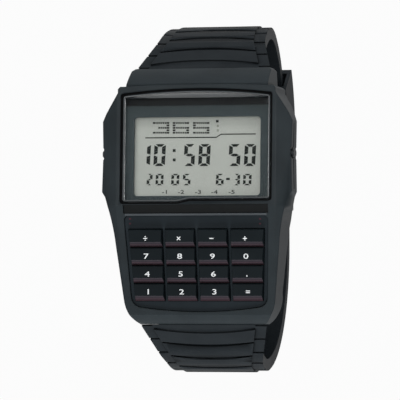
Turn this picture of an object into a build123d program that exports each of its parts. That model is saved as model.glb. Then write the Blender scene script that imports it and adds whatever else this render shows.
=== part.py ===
from build123d import *
import os
from math import atan2, cos, radians, sin, tan

os.makedirs("parts", exist_ok=True)

# Calculator wristwatch: resin case, sixteen keys, and a resin strap buckled into a loop.
# Millimetres. The face looks along +Z, twelve o'clock is +Y and three o'clock is +X.
# The origin is under the middle of the watch, level with the lowest face of the buckle.
# Depths are measured down from the ridge of the case front, where display and keypad meet.

# Clearances and overrun
overrun = 1.0                  # how far a cutting solid runs past what it cuts
seat_gap = 0.05                # between parts that are pressed or clipped together
slide_gap = 0.08               # round a key or button that slides
pivot_gap = 0.04               # radial, round a pin that something turns on
layer_gap = 0.1                # between the two layers of the closed strap
keeper_gap = 0.15              # between the keeper, or the buckle, and the strap inside it

# Case front
ridge_y = -1.9                 # the ridge between display and keypad
display_tilt = 3.0             # degrees, display leans towards twelve o'clock
keypad_tilt = 12.0             # degrees, keypad leans towards six o'clock
bezel_top_y = 20.6
bezel_crown = 0.35             # rise of the bezel's upper edge at the middle
bezel_bottom_y = -22.5
case_half_length = 24.3
ridge_taper = 2.9              # degrees, the bezel's edges close in along the keypad
flank_slope = 21.6             # degrees, fall of the flank outside the bezel's edge
shoulder_top_drop = 0.4        # step from the bezel down to the top shoulder
shoulder_bulge = 0.35          # how far the shoulders swell from a straight slope
top_end_depth = 6.8
bottom_end_depth = 7.7

# Case outline in plan
guard_half_width = 18.25       # the widest place, and the size that the other widths follow
guard_hollow = 0.15            # the guard's side falls in towards the button
guard_corner_step = 0.75       # from the guard in to the corner above it
guard_step_y = 15.6
guard_top_y = 14.0
guard_bottom_y = 0.7
guard_foot = 0.95              # length of the bevel under each guard
guard_foot_step = 0.65
guard_reach = 3.1              # from the bezel's side out to the guard
bezel_edge_roll = 0.15         # the bright edge of the bezel lies this far out
bezel_corner = 0.45
bezel_side_y = 19.4            # lower end of the bezel's short upright side
shoulder_inset = 1.5           # from the bezel's side in to the shoulder
shoulder_corner = 0.5
top_end_taper = 0.65
bottom_end_taper = 1.45
keypad_side_reach = 0.55
keypad_side_y = -9.4
sweep_reach = 0.8              # middle of the hollow curve under each guard
sweep_middle_y = -4.1
keypad_foot_taper = 1.1
keypad_foot_y = -19.6
foot_corner_taper = 0.8
foot_corner_y = -22.3

# Case depth
case_back_depth = 10.6         # the plane that the case back is screwed to
lug_depth = 11.5               # lowest face of the lugs
lug_length = 5.0
lug_run = 1.0                  # length of the slope from case back plane to lug
lug_chamfer = 0.7
side_wall_depth = 6.6          # lower edge of the upright side wall
side_foot_reach = 1.25         # the sloping underside reaches the back this far outside the bezel
side_groove_depth = 3.7        # middle of the groove along each side wall
side_groove_width = 0.5
side_groove_cut = 0.35
side_wall_width = 5.1          # from the guard's side in to the space behind the display
room_top_y = 16.4
room_bottom_y = -2.7
lower_room_step = 2.2          # the space goes on behind the keypad, narrower
lower_room_bottom_y = -15.4
room_corner = 1.0
cable_window_half_width = 5.5  # opening between the lower room and the keypad's well
cable_window_top_y = -11.0

# Display
bezel_rim = 0.95               # from the bezel's side in to the glass
glass_bottom = 0.68            # lower edge of the glass, up from the ridge in the display plane
glass_step = 0.5               # the lower edge is this much higher on the right
glass_step_left = -3.4
glass_step_right = -1.2
glass_side_height = 20.15      # height of the straight sides
glass_crown = 0.9              # rise of the top edge at the middle
glass_corner = 0.6
glass_drop = 0.2               # glass below the bezel
glass_thickness = 1.3
glass_seal_width = 0.3
display_ledge_width = 1.15     # ledge that the glass sits on
display_ledge_thickness = 0.6
border_thickness = 0.2
border_side = 2.05             # printed border between glass edge and window
window_bottom = 1.9            # lower edge of the display window, up from the ridge
window_height = 14.9
window_corner = 0.7
lcd_side_margin = 0.35         # display panel beyond the window at each side
lcd_margin = 1.1               # display panel beyond the window at top and bottom
lcd_thickness = 1.4
lcd_polariser = 0.25           # front sheet of the display, a little smaller than the panel
lcd_polariser_inset = 0.3
backlight_thickness = 0.5
backlight_side_inset = 0.15
backlight_inset = 0.4          # backlight shorter than the window at top and bottom
contact_strip_width = 0.9
contact_strip_end_inset = 1.1  # contact strips shorter than the display panel

# Recess under the glass, with a bare strip on it
recess_side_inset = 0.3        # recess narrower than the glass at each side
recess_top = 0.15              # from the ridge, in the keypad plane
recess_bottom = -1.55
recess_depth = 0.35

# Keypad
panel_top = -2.05              # upper edge of the keypad panel, from the ridge in its plane
panel_side_end = -19.3
panel_bottom = -20.45
panel_rim = 1.35               # from the bezel's side in to the panel
panel_taper = 0.8
panel_top_corner = 0.9
panel_bottom_corner = 2.0
panel_drop = 0.3               # panel face below the bezel
panel_thickness = 0.9
well_margin = 0.35             # ledge round the well under the panel
well_bottom = -18.6
well_corner = 0.8
key_columns = 4
key_rows = 4
outer_key_extra = 0.49         # outer columns are this much wider
key_pitch_y = 3.45
key_first_edge = -4.6          # upper edge of the first row
key_gap_x = 0.58               # groove between columns, at the foot of the keys
key_gap_y = 0.12
panel_side_rail = 0.75         # from the panel's side in to the first row of keys
key_taper = 0.75               # the last row is this much narrower at each side
key_side_bevel = 0.2
key_end_bevel = 1.1            # length of the sloping lower face
key_back_bevel = 0.15
key_crest = 0.78               # height of a key above the bezel plane at its crest
key_back = 0.42                # height at its upper edge
key_toe = 0.0                  # height where the sloping lower face ends
key_flange = 0.2               # flange beyond the key at left and right, under the panel
key_flange_thickness = 0.5
key_flange_inset = 0.3         # the flange stops short of the key's upper and lower sides
key_travel = 0.4
membrane_thickness = 0.4
dome_radius = 1.25
dome_top_radius = 0.9
dome_height = 0.65
board_thickness = 0.6

# Module
module_floor_depth = 6.9       # underside of the module frame
main_board_thickness = 0.8
main_board_bottom_y = -14.4
battery_side_room = 3.0        # from the room's side in to the battery
battery_thickness = 2.4
battery_y = 6.2
battery_step = 0.35            # width and depth of the step round the battery's rim
clip_thickness = 0.2
clip_width = 5.0
chip_radius = 2.6
chip_height = 1.4
chip_y = -8.5
crystal_radius = 0.9
crystal_length = 6.0
crystal_side_room = 2.2        # from the lower room's side in to the crystal's middle
crystal_y = -8.0
cable_width = 9.0
cable_thickness = 0.15
cable_start = -12.0            # where the cable is fixed to the keypad board
cable_bend = -14.2
cable_bend_radius = 0.25
cable_end_y = -12.0
buzzer_radius = 5.0
buzzer_thickness = 0.35
buzzer_y = -9.8
buzzer_disc_radius = 3.6
buzzer_disc_thickness = 0.15

# Case back
back_side_reach = 0.85         # case back beyond the bezel at each side
back_end_gap = 0.6             # from the back's end to the lug
back_lower_step = 2.1
back_waist_y = -0.8            # where the plate steps in to clear the narrow lower case
back_corner = 1.0
back_thickness = 1.0
back_edge_chamfer = 0.3
back_rim = 2.6                 # width of the lower rim that carries the screws
back_rim_step = 0.25
back_seal_width = 0.6
back_seal_thickness = 0.5
back_seal_inset = 0.35         # from the room's edge out to the seal
upper_screw_inset = 1.05       # from the plate's side in to the screw
upper_screw_y = 12.5
lower_screw_inset = 1.3
lower_screw_y = -16.2
screw_radius = 0.5
screw_head_radius = 0.95
screw_head_height = 0.4
screw_length = 3.4
screw_slot_width = 0.25
screw_slot_depth = 0.2
screw_sink_depth = 0.4

# Side buttons
button_y = 7.9
button_depth = 3.9             # from the ridge level down to the button's axis
button_head_height = 3.4
button_head_width = 1.5
button_head_length = 1.3
button_head_bevel = 0.2
button_stand = 0.3             # how far the head stands out of the guard
button_travel = 0.5
button_notch_depth = 0.15
button_notch_half_length = 1.15
shaft_radius = 0.5
shaft_groove_radius = 0.36
shaft_room_radius = 1.2        # round pocket for the spring and the seal
shaft_tip_gap = 0.25           # from the space behind the display out to the shaft's tip
shaft_end_length = 0.1         # from the shaft's tip to the clip's groove
button_wall = 1.25             # wall between the clip's pocket and the seal
clip_ring_radius = 0.85
clip_ring_thickness = 0.3
clip_ring_slot = 0.6
clip_pocket_radius = 0.95
seal_length = 0.55
spring_wire_radius = 0.12
spring_coil_radius = 0.8
spring_turns = 2
contact_gap = 0.02             # between a fully pressed button and its contact leaf
contact_thickness = 0.15
contact_half_width = 0.8
contact_top_depth = 3.3
contact_foot = 0.8
contact_notch_half_width = 1.2

# Strap
strap_root_gap = 0.05          # between the case's end and the strap
strap_start_depth = 7.3
strap_start_angle = 52.0       # degrees, how steeply the strap leaves the case
strap_swell = 9.45             # how far the loop reaches beyond the strap's start
upper_corner_radius = 20.9     # outer radius of the loop's corner on the buckle half
lower_corner_radius = 25.0     # outer radius of the loop's corner on the hole half
strap_thickness = 2.6          # through the pads
pad_height = 0.3
upper_root_half_width = 13.1   # half widths of the buckle half, from the case to the buckle
upper_shoulder_half_width = 10.45
upper_shoulder_depth = 15.0
upper_side_half_width = 9.0
upper_side_depth = 36.0
buckle_end_half_width = 8.4
lower_root_half_width = 12.4   # half widths of the hole half, from the case down
lower_shoulder_half_width = 9.4
lower_shoulder_depth = 18.0
lower_side_half_width = 8.8
lower_side_depth = 30.0
strap_bend_radius = 14.0       # rounds the bends in the strap's sides
strap_border = 2.2             # plain border beside the pads
tail_shoulder = 2.6            # length over which the tail narrows before the buckle
strap_tip_half_width = 8.0
strap_tip_radius = 5.0
pad_count = 7
pad_pitch = 4.2
pad_first = 1.2                # from the end of the strap to the first pad
pad_groove = 0.85              # width of the gap between two pads at its middle
pad_groove_end = 0.3           # and at its ends
pad_groove_sag = 1.2
border_slot_depth = 0.25
border_slot_width = 0.4
border_slot_shift = 0.5        # border slots sit this much nearer to the case
strap_tongue_half_width = 8.9
spring_bar_radius = 0.75
spring_bar_y = 22.0
spring_bar_depth = 9.9
spring_bar_pivot_radius = 0.45
spring_bar_pivot_length = 0.9
strap_eye_radius = 1.55
strap_neck_overlap = 0.4       # how far the neck runs into the band
hole_half_width = 1.1
hole_half_length = 2.1
hole_pitch = 6.6
hole_corner_share = 0.9
holes_towards_case = 4
holes_towards_tip = 2
strap_buckle_end_y = 7.0       # the buckle bar's place along the strap

# Buckle and keeper
buckle_bar_radius = 0.6
buckle_bar_pivot_radius = 0.4
buckle_eye_radius = 1.15
buckle_rail = 0.8
buckle_far_y = -0.9            # middle of the bar that the tongue rests on
buckle_far_width = 1.5
buckle_far_thickness = 1.2
buckle_slot_half_width = 1.3   # slot in the strap's end for the tongue
tongue_half_width = 0.9
tongue_thickness = 0.7
lower_corner_drop = 18.4       # from the start of the hole half down to its corner's centre
tongue_knee_y = 3.4
tongue_rise_y = 0.9
tongue_tip_y = -1.55
keeper_start_angle = 9.0       # degrees round the loop's corner
keeper_end_angle = 34.0
keeper_side_wall = 0.7
keeper_side_gap = 0.6          # room beside the strap's end inside the keeper
tail_end_angle = 32.0

# Widths, worked out from the guards inwards
guard_waist_half_width = guard_half_width - guard_hollow
guard_step_half_width = guard_half_width - guard_corner_step
guard_root_half_width = guard_half_width - guard_foot_step
bezel_half_width = guard_half_width - guard_reach
ridge_half_width = bezel_half_width + bezel_edge_roll
shoulder_half_width = bezel_half_width - shoulder_inset
top_end_half_width = shoulder_half_width - top_end_taper
bottom_end_half_width = shoulder_half_width - bottom_end_taper
keypad_side_half_width = bezel_half_width + keypad_side_reach
sweep_middle_half_width = keypad_side_half_width + sweep_reach
keypad_foot_half_width = keypad_side_half_width - keypad_foot_taper
foot_corner_half_width = keypad_foot_half_width - foot_corner_taper
side_foot_half_width = bezel_half_width + side_foot_reach
room_half_width = guard_waist_half_width - side_wall_width
lower_room_half_width = room_half_width - lower_room_step
glass_half_width = bezel_half_width - bezel_rim
window_half_width = glass_half_width - border_side
lcd_half_width = window_half_width + lcd_side_margin
backlight_half_width = window_half_width - backlight_side_inset
contact_strip_half_length = lcd_half_width - contact_strip_end_inset
recess_half_width = glass_half_width - recess_side_inset
panel_top_half_width = bezel_half_width - panel_rim
panel_bottom_half_width = panel_top_half_width - panel_taper
key_outer_top = panel_top_half_width - panel_side_rail
key_outer_bottom = key_outer_top - key_taper
key_pitch_x = (key_outer_top - outer_key_extra) / (key_columns / 2)
back_half_width = bezel_half_width + back_side_reach
back_lower_half_width = back_half_width - back_lower_step
upper_screw_x = back_half_width - upper_screw_inset
lower_screw_x = back_lower_half_width - lower_screw_inset
shaft_tip_x = room_half_width + shaft_tip_gap
lug_start_y = case_half_length - lug_length
back_half_length = lug_start_y - lug_run - back_end_gap
battery_radius = room_half_width - battery_side_room
crystal_x = lower_room_half_width - crystal_side_room
strap_start_y = case_half_length + strap_root_gap
loop_half_length = strap_start_y + strap_swell

# Levels behind the wrist, worked out from the strap's layers
base_thickness = strap_thickness - pad_height
lower_flat_start = lower_corner_radius - loop_half_length
lower_corner_depth = strap_start_depth + lower_corner_drop
lower_flat_depth = lower_corner_depth + lower_corner_radius
tail_outer_depth = lower_flat_depth - pad_height
tail_inner_depth = tail_outer_depth - base_thickness
upper_flat_depth = tail_inner_depth - layer_gap + pad_height
upper_corner_depth = upper_flat_depth - upper_corner_radius
upper_corner_y = loop_half_length - upper_corner_radius
buckle_far_depth = tail_outer_depth + keeper_gap
face_height = buckle_far_depth + buckle_far_thickness

buckle_bar_depth = upper_flat_depth - pad_height - base_thickness / 2


# Working planes and small helpers

def level(depth):
    """Height above the origin of a given depth below the case's ridge."""
    return face_height - depth


def side_point(y, depth):
    return (y, level(depth))


display_plane = Plane(origin=(0, ridge_y, face_height), x_dir=(1, 0, 0),
                      z_dir=(0, sin(radians(display_tilt)), cos(radians(display_tilt))))
keypad_plane = Plane(origin=(0, ridge_y, face_height), x_dir=(1, 0, 0),
                     z_dir=(0, -sin(radians(keypad_tilt)), cos(radians(keypad_tilt))))


def slab(sketch, top, bottom):
    """A flat sketch carried from one height to another."""
    return extrude(Pos(0, 0, bottom) * sketch, amount=top - bottom)


def side_prism(face, half_width):
    """A face drawn in the side view, carried across the watch to both sides."""
    return extrude(Plane.YZ * face, amount=half_width, both=True)


def both_sides(solid):
    return solid + mirror(solid, about=Plane.YZ)


def largest(shape):
    return shape.solids().sort_by(SortBy.VOLUME)[-1]


def rounded(points, radius):
    """A closed polygon with every corner rounded alike."""
    face = make_face(Polyline(*points, close=True))
    return fillet(face.vertices(), radius)


def oval_bar(half_length, sag, width, end_width):
    """A bar across the strap whose middle is bowed by the sag and wider than its ends."""
    low = ThreePointArc((-half_length, -end_width / 2), (0, sag - width / 2),
                        (half_length, -end_width / 2))
    high = ThreePointArc((-half_length, end_width / 2), (0, sag + width / 2),
                         (half_length, end_width / 2))
    ends = [Line(low @ 0, high @ 0), Line(low @ 1, high @ 1)]
    return make_face([low, high] + ends)


# Outlines shared by parts that fit together

def glass_outline(grow):
    """The glass seen square on: crowned top edge and a small step in the lower edge."""
    half = glass_half_width + grow
    low = glass_bottom - grow
    high = glass_bottom + glass_side_height + grow
    edges = [
        ThreePointArc((-half, high), (0, high + glass_crown), (half, high)),
        Polyline((half, high), (half, low + glass_step), (glass_step_right, low + glass_step),
                 (glass_step_left, low), (-half, low), (-half, high)),
    ]
    face = make_face(edges)
    corners = face.vertices().filter_by(lambda v: abs(v.X) > half - glass_corner)
    return fillet(corners, glass_corner)


def window_outline(grow):
    half_height = window_height / 2
    shape = RectangleRounded(2 * (window_half_width + grow), window_height + 2 * grow, window_corner)
    return Pos(0, window_bottom + half_height) * shape


def panel_half_width(v):
    """Half width of the keypad panel at a place along it."""
    share = (v - panel_top) / (panel_side_end - panel_top)
    return panel_top_half_width + share * (panel_bottom_half_width - panel_top_half_width)


def panel_outline(grow):
    top_half = panel_top_half_width + grow
    low_half = panel_bottom_half_width + grow
    edges = [
        Polyline((-low_half, panel_side_end - grow), (-top_half, panel_top + grow),
                 (top_half, panel_top + grow), (low_half, panel_side_end - grow)),
        ThreePointArc((low_half, panel_side_end - grow), (0, panel_bottom - grow),
                      (-low_half, panel_side_end - grow)),
    ]
    face = make_face(edges)
    face = fillet(face.vertices().group_by(Axis.Y)[-1], panel_top_corner)
    return fillet(face.vertices().filter_by(lambda v: abs(v.Y - panel_side_end + grow) < seat_gap),
                  panel_bottom_corner)


def well_outline(grow):
    """The well that holds the keys' flanges, the membrane and the keypad board."""
    top = panel_top - well_margin
    return rounded([
        (-panel_half_width(top) + well_margin - grow, top + grow),
        (panel_half_width(top) - well_margin + grow, top + grow),
        (panel_half_width(well_bottom) - well_margin + grow, well_bottom - grow),
        (-panel_half_width(well_bottom) + well_margin - grow, well_bottom - grow),
    ], well_corner)


def upper_room_outline(grow):
    return rounded([
        (-room_half_width - grow, room_bottom_y - grow),
        (room_half_width + grow, room_bottom_y - grow),
        (room_half_width + grow, room_top_y + grow),
        (-room_half_width - grow, room_top_y + grow),
    ], room_corner)


def room_outline(grow, bottom_y):
    """The room seen from the back: wide behind the display, narrower behind the keypad."""
    return rounded([
        (-lower_room_half_width - grow, bottom_y),
        (lower_room_half_width + grow, bottom_y),
        (lower_room_half_width + grow, room_bottom_y - grow),
        (room_half_width + grow, room_bottom_y - grow),
        (room_half_width + grow, room_top_y + grow),
        (-room_half_width - grow, room_top_y + grow),
        (-room_half_width - grow, room_bottom_y - grow),
        (-lower_room_half_width - grow, room_bottom_y - grow),
    ], room_corner)


# Heights in the display plane, counted down from the bezel
glass_top = -glass_drop
glass_under = glass_top - glass_thickness
ledge_top = glass_under - border_thickness - seat_gap
ledge_under = ledge_top - display_ledge_thickness
lcd_top = ledge_under - seat_gap
lcd_under = lcd_top - lcd_thickness
backlight_under = lcd_under - seat_gap - backlight_thickness

# Heights in the keypad plane
panel_face = -panel_drop
panel_under = panel_face - panel_thickness
flange_top = panel_under - seat_gap
flange_under = flange_top - key_flange_thickness
dome_top = flange_under - key_travel - seat_gap
membrane_top = dome_top - dome_height
membrane_under = membrane_top - membrane_thickness
board_top = membrane_under - seat_gap
board_under = board_top - board_thickness


# Case

def case_plan_half():
    """Right half of the case seen from the front."""
    waist_top = button_y + button_notch_half_length
    waist_bottom = button_y - button_notch_half_length
    upper = Polyline(
        (0, case_half_length),
        (top_end_half_width, case_half_length),
        (top_end_half_width + shoulder_corner, case_half_length - shoulder_corner),
        (shoulder_half_width, bezel_top_y),
        (bezel_half_width - bezel_corner, bezel_top_y),
        (bezel_half_width, bezel_top_y - bezel_corner),
        (bezel_half_width, bezel_side_y),
        (guard_step_half_width, guard_step_y),
        (guard_half_width, guard_top_y),
        (guard_waist_half_width, waist_top),
        (guard_waist_half_width - button_notch_depth, waist_top - button_notch_depth),
        (guard_waist_half_width - button_notch_depth, waist_bottom + button_notch_depth),
        (guard_waist_half_width, waist_bottom),
        (guard_half_width, guard_bottom_y),
        (guard_root_half_width, guard_bottom_y - guard_foot),
    )
    root = (guard_root_half_width, guard_bottom_y - guard_foot)
    side = (keypad_side_half_width, keypad_side_y)
    foot = (keypad_foot_half_width, keypad_foot_y)
    lower = [ThreePointArc(root, (sweep_middle_half_width, sweep_middle_y), side),
             Line(side, foot),
             ThreePointArc(foot, (foot_corner_half_width, foot_corner_y),
                           (bottom_end_half_width, -case_half_length)),
             Line((bottom_end_half_width, -case_half_length), (0, -case_half_length)),
             Line((0, -case_half_length), (0, case_half_length))]
    return make_face([upper] + lower)


def case_side_face():
    """The case seen from three o'clock."""
    crown_y = bezel_top_y + bezel_crown
    bezel_top_depth = (crown_y - ridge_y) * tan(radians(display_tilt))
    bezel_bottom_depth = (ridge_y - bezel_bottom_y) * tan(radians(keypad_tilt))
    shoulder_depth = bezel_top_depth + shoulder_top_drop
    top_middle = ((crown_y + case_half_length + shoulder_bulge) / 2,
                  (shoulder_depth + top_end_depth - shoulder_bulge) / 2)
    bottom_middle = ((bezel_bottom_y - case_half_length - shoulder_bulge) / 2,
                     (bezel_bottom_depth + bottom_end_depth - shoulder_bulge) / 2)
    lug_end = case_half_length - lug_chamfer
    edges = [
        Line(side_point(bezel_bottom_y, bezel_bottom_depth), side_point(ridge_y, 0)),
        Line(side_point(ridge_y, 0), side_point(crown_y, bezel_top_depth)),
        Line(side_point(crown_y, bezel_top_depth), side_point(crown_y, shoulder_depth)),
        ThreePointArc(side_point(crown_y, shoulder_depth), side_point(*top_middle),
                      side_point(case_half_length, top_end_depth)),
        Polyline(
            side_point(case_half_length, top_end_depth),
            side_point(case_half_length, lug_depth - lug_chamfer),
            side_point(lug_end, lug_depth),
            side_point(lug_start_y, lug_depth),
            side_point(lug_start_y - lug_run, case_back_depth),
            side_point(-lug_start_y + lug_run, case_back_depth),
            side_point(-lug_start_y, lug_depth),
            side_point(-lug_end, lug_depth),
            side_point(-case_half_length, lug_depth - lug_chamfer),
            side_point(-case_half_length, bottom_end_depth),
        ),
        ThreePointArc(side_point(-case_half_length, bottom_end_depth), side_point(*bottom_middle),
                      side_point(bezel_bottom_y, bezel_bottom_depth)),
    ]
    return make_face(edges)


def flank_cutter(length):
    """Removes what lies above the sloping flank outside the bezel's edge."""
    reach = guard_half_width
    wedge = make_face(Polyline((0, 0), (reach, -reach * tan(radians(flank_slope))), (reach, reach),
                               (0, reach), close=True))
    return extrude(Plane.XZ * wedge, amount=-length)


def beyond_crown():
    """What lies beyond the bezel's crowned upper edge, seen square on to the display."""
    side_v = bezel_top_y - ridge_y
    crown_v = side_v + bezel_crown
    end_v = crown_v + overrun
    crown = ThreePointArc((-bezel_half_width, side_v), (0, crown_v), (bezel_half_width, side_v))
    rest = Polyline((bezel_half_width, side_v), (bezel_half_width, end_v),
                    (-bezel_half_width, end_v), (-bezel_half_width, side_v))
    return make_face([crown, rest])


def make_case_shell():
    outer = extrude(case_plan_half(), amount=face_height + overrun)
    outer &= side_prism(case_side_face(), guard_half_width + overrun)
    upper_flank = display_plane * Pos(ridge_half_width, 0, 0) * flank_cutter(case_half_length)
    lower_flank = (keypad_plane * Pos(ridge_half_width, 0, 0) * Rot(0, 0, -ridge_taper)
                   * mirror(flank_cutter(case_half_length + overrun), about=Plane.XZ))
    outer -= upper_flank
    outer -= lower_flank
    outer -= display_plane * slab(beyond_crown(), overrun, -shoulder_top_drop)
    # The underside slopes in below the upright side wall.
    slope = make_face(Polyline(
        (guard_half_width, level(side_wall_depth)),
        (side_foot_half_width, level(case_back_depth)),
        (side_foot_half_width, level(lug_depth + overrun)),
        (guard_half_width + overrun, level(lug_depth + overrun)),
        (guard_half_width + overrun, level(side_wall_depth)), close=True))
    outer -= extrude(Plane.XZ * slope, amount=case_half_length + overrun, both=True)
    # A fine groove runs along the side wall of each guard.
    groove = Pos(guard_half_width, (guard_top_y + guard_bottom_y) / 2, level(side_groove_depth))
    outer -= groove * Box(2 * side_groove_cut, guard_top_y - guard_bottom_y - guard_foot,
                          side_groove_width)
    return both_sides(outer)


def end_slot(y_sign):
    """The space between two lugs, where the strap's eye sits on its spring bar."""
    depth = case_half_length - spring_bar_y + strap_eye_radius + keeper_gap
    roof = spring_bar_depth - strap_eye_radius - keeper_gap
    height = lug_depth + overrun - roof
    block = Box(2 * (strap_tongue_half_width + keeper_gap), depth + overrun, height)
    return Pos(0, y_sign * (case_half_length + overrun - (depth + overrun) / 2),
               level(roof + height / 2)) * block


def bar_bore(y_sign):
    """Blind holes in the lugs for the ends of a spring bar."""
    half = strap_tongue_half_width + keeper_gap + spring_bar_pivot_length
    bore = Cylinder(spring_bar_pivot_radius + pivot_gap, 2 * half, rotation=(0, 90, 0))
    return Pos(0, y_sign * spring_bar_y, level(spring_bar_depth)) * bore


button_outer_x = guard_waist_half_width + button_stand
head_inner_x = button_outer_x - button_head_length
head_pocket_x = head_inner_x - button_travel - seat_gap
clip_groove_x = shaft_tip_x + shaft_end_length
clip_pocket_x = clip_groove_x + clip_ring_thickness + seat_gap
seal_room_x = clip_pocket_x + button_wall
seal_outer_x = seal_room_x + seat_gap + seal_length
spring_inner_x = seal_outer_x + button_travel + seat_gap


def make_case():
    case = make_case_shell()
    # Display opening: the glass and its seal above, then a ledge.
    case -= display_plane * slab(glass_outline(glass_seal_width + 2 * seat_gap), overrun, ledge_top)
    case -= display_plane * slab(glass_outline(-display_ledge_width), ledge_top + overrun,
                                 ledge_under - overrun)
    # Room for the module under the ledge, open towards the back.
    size = 4 * case_half_length
    below_ledge = display_plane * Pos(0, 0, ledge_under - size / 2) * Box(size, size, size)
    under_back = level(case_back_depth) - overrun
    case -= slab(upper_room_outline(0), face_height, under_back) & below_ledge
    case -= slab(room_outline(0, lower_room_bottom_y), level(module_floor_depth), under_back)
    # Keypad opening: the panel above, a ledge, and the well below.
    case -= keypad_plane * slab(panel_outline(slide_gap), overrun, panel_under - seat_gap)
    case -= keypad_plane * slab(well_outline(0), panel_under, board_under - 2 * seat_gap)
    window = Pos(0, (cable_window_top_y + lower_room_bottom_y) / 2) * Rectangle(
        2 * cable_window_half_width, cable_window_top_y - lower_room_bottom_y)
    above_floor = slab(window, level(module_floor_depth) + overrun, level(case_back_depth))
    case -= above_floor & keypad_plane * slab(well_outline(0), panel_under, -case_back_depth)
    # Shallow recess between glass and keypad.
    recess = Pos(0, (recess_bottom + recess_top) / 2) * Rectangle(
        2 * recess_half_width, recess_top - recess_bottom)
    case -= keypad_plane * slab(recess, overrun, -recess_depth)
    for y_sign in (-1, 1):
        case -= end_slot(y_sign)
        case -= bar_bore(y_sign)
    for x_sign in (-1, 1):
        case -= button_cutter(x_sign)
    # Groove for the back's seal and four blind screw holes.
    outer = back_seal_inset + back_seal_width
    ring = (room_outline(outer, lower_room_bottom_y - outer)
            - room_outline(back_seal_inset, lower_room_bottom_y - back_seal_inset))
    case -= slab(ring, level(case_back_depth - back_seal_thickness), under_back)
    for x, y in screw_places():
        hole = Cylinder(screw_radius + seat_gap, screw_length + overrun,
                        align=(Align.CENTER, Align.CENTER, Align.MAX))
        case -= Pos(x, y, level(case_back_depth - screw_length)) * hole
    return largest(case)


def x_cylinder(radius, start_x, end_x):
    """A round bar along X at the buttons' axis."""
    rod = Cylinder(radius, end_x - start_x, rotation=(0, 90, 0))
    return Pos((start_x + end_x) / 2, button_y, level(button_depth)) * rod


def head_prism(grow, start_x, end_x):
    """The upright oval of a button's head, carried along X."""
    outline = SlotOverall(button_head_height + 2 * grow, button_head_width + 2 * grow, rotation=90)
    section = Plane(origin=(start_x, button_y, level(button_depth)), x_dir=(0, 1, 0),
                    z_dir=(1, 0, 0))
    return extrude(section * outline, amount=end_x - start_x)


def on_side(solid, x_sign):
    return solid if x_sign > 0 else mirror(solid, about=Plane.YZ)


def button_cutter(x_sign):
    """Pocket for the head, room for spring and seal, the shaft's bore, and the clip's pocket."""
    cutter = head_prism(slide_gap, head_pocket_x, button_outer_x + overrun)
    cutter += x_cylinder(shaft_room_radius, seal_room_x, head_pocket_x + overrun)
    cutter += x_cylinder(shaft_radius + pivot_gap, room_half_width - overrun, seal_room_x + overrun)
    cutter += x_cylinder(clip_pocket_radius, room_half_width - overrun, clip_pocket_x)
    return on_side(cutter, x_sign)


def screw_places():
    return [(x_sign * x, y) for x_sign in (-1, 1)
            for x, y in ((upper_screw_x, upper_screw_y), (lower_screw_x, lower_screw_y))]


# Display parts

def make_glass():
    return display_plane * slab(glass_outline(0), glass_top, glass_under)


def make_glass_seal():
    ring = glass_outline(glass_seal_width + seat_gap) - glass_outline(seat_gap)
    return display_plane * slab(ring, glass_top - glass_drop, ledge_top + seat_gap)


def make_border():
    frame = glass_outline(0) - window_outline(0)
    return display_plane * slab(frame, glass_under - seat_gap / 2, ledge_top + seat_gap / 2)


def lcd_middle():
    return window_bottom + window_height / 2


def make_lcd():
    height = window_height + 2 * lcd_margin
    panel = Rectangle(2 * lcd_half_width, height)
    sheet = Rectangle(2 * (lcd_half_width - lcd_polariser_inset), height - 2 * lcd_polariser_inset)
    middle = Pos(0, lcd_middle())
    solid = slab(middle * panel, lcd_top - lcd_polariser, lcd_under)
    solid += slab(middle * sheet, lcd_top, lcd_top - lcd_polariser)
    return display_plane * solid


def make_backlight():
    plate = Pos(0, lcd_middle()) * Rectangle(2 * backlight_half_width,
                                             window_height - 2 * backlight_inset)
    return display_plane * slab(plate, lcd_under - seat_gap, backlight_under)


def contact_strip_y(y_sign):
    return lcd_middle() + y_sign * (window_height + lcd_margin) / 2


def below_level(depth):
    """Everything lower than a depth, as a large block."""
    size = 4 * case_half_length
    return Pos(0, 0, level(depth) - size / 2) * Box(size, size, size)


def make_contact_strip(y_sign):
    strip = Pos(0, contact_strip_y(y_sign)) * Rectangle(2 * contact_strip_half_length,
                                                        contact_strip_width)
    solid = display_plane * slab(strip, lcd_under - seat_gap, lcd_under - module_floor_depth)
    return solid - below_level(module_floor_depth)


def make_module_frame():
    """A plate that holds the display, the backlight and the contact strips."""
    block = upper_room_outline(-slide_gap)
    solid = slab(block, face_height, level(module_floor_depth))
    size = 4 * case_half_length
    solid -= display_plane * Pos(0, 0, lcd_top + size / 2) * Box(size, size, size)
    pocket = Pos(0, lcd_middle()) * Rectangle(2 * (lcd_half_width + seat_gap),
                                              window_height + 2 * lcd_margin + 2 * seat_gap)
    solid -= display_plane * slab(pocket, overrun, lcd_under - seat_gap / 2)
    light = Pos(0, lcd_middle()) * Rectangle(2 * (backlight_half_width + seat_gap),
                                             window_height - 2 * backlight_inset + 2 * seat_gap)
    solid -= display_plane * slab(light, overrun, backlight_under - seat_gap / 2)
    for y_sign in (-1, 1):
        strip = Pos(0, contact_strip_y(y_sign)) * Rectangle(
            2 * (contact_strip_half_length + seat_gap), contact_strip_width + 2 * seat_gap)
        solid -= display_plane * slab(strip, overrun, -module_floor_depth - overrun)
    # Notches at both sides where the button contacts stand.
    notch_inner = contact_outer_x - contact_foot - seat_gap
    for x_sign in (-1, 1):
        notch = Box(room_half_width - notch_inner, 2 * contact_notch_half_width,
                    2 * (module_floor_depth - contact_top_depth + seat_gap))
        solid -= Pos(x_sign * (room_half_width + notch_inner) / 2, button_y,
                     level(module_floor_depth)) * notch
    return largest(solid)


# Boards, battery and sound

def make_main_board():
    plate = room_outline(-slide_gap, main_board_bottom_y)
    return slab(plate, level(module_floor_depth + seat_gap),
                level(module_floor_depth + seat_gap + main_board_thickness))


board_back_depth = module_floor_depth + seat_gap + main_board_thickness


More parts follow.
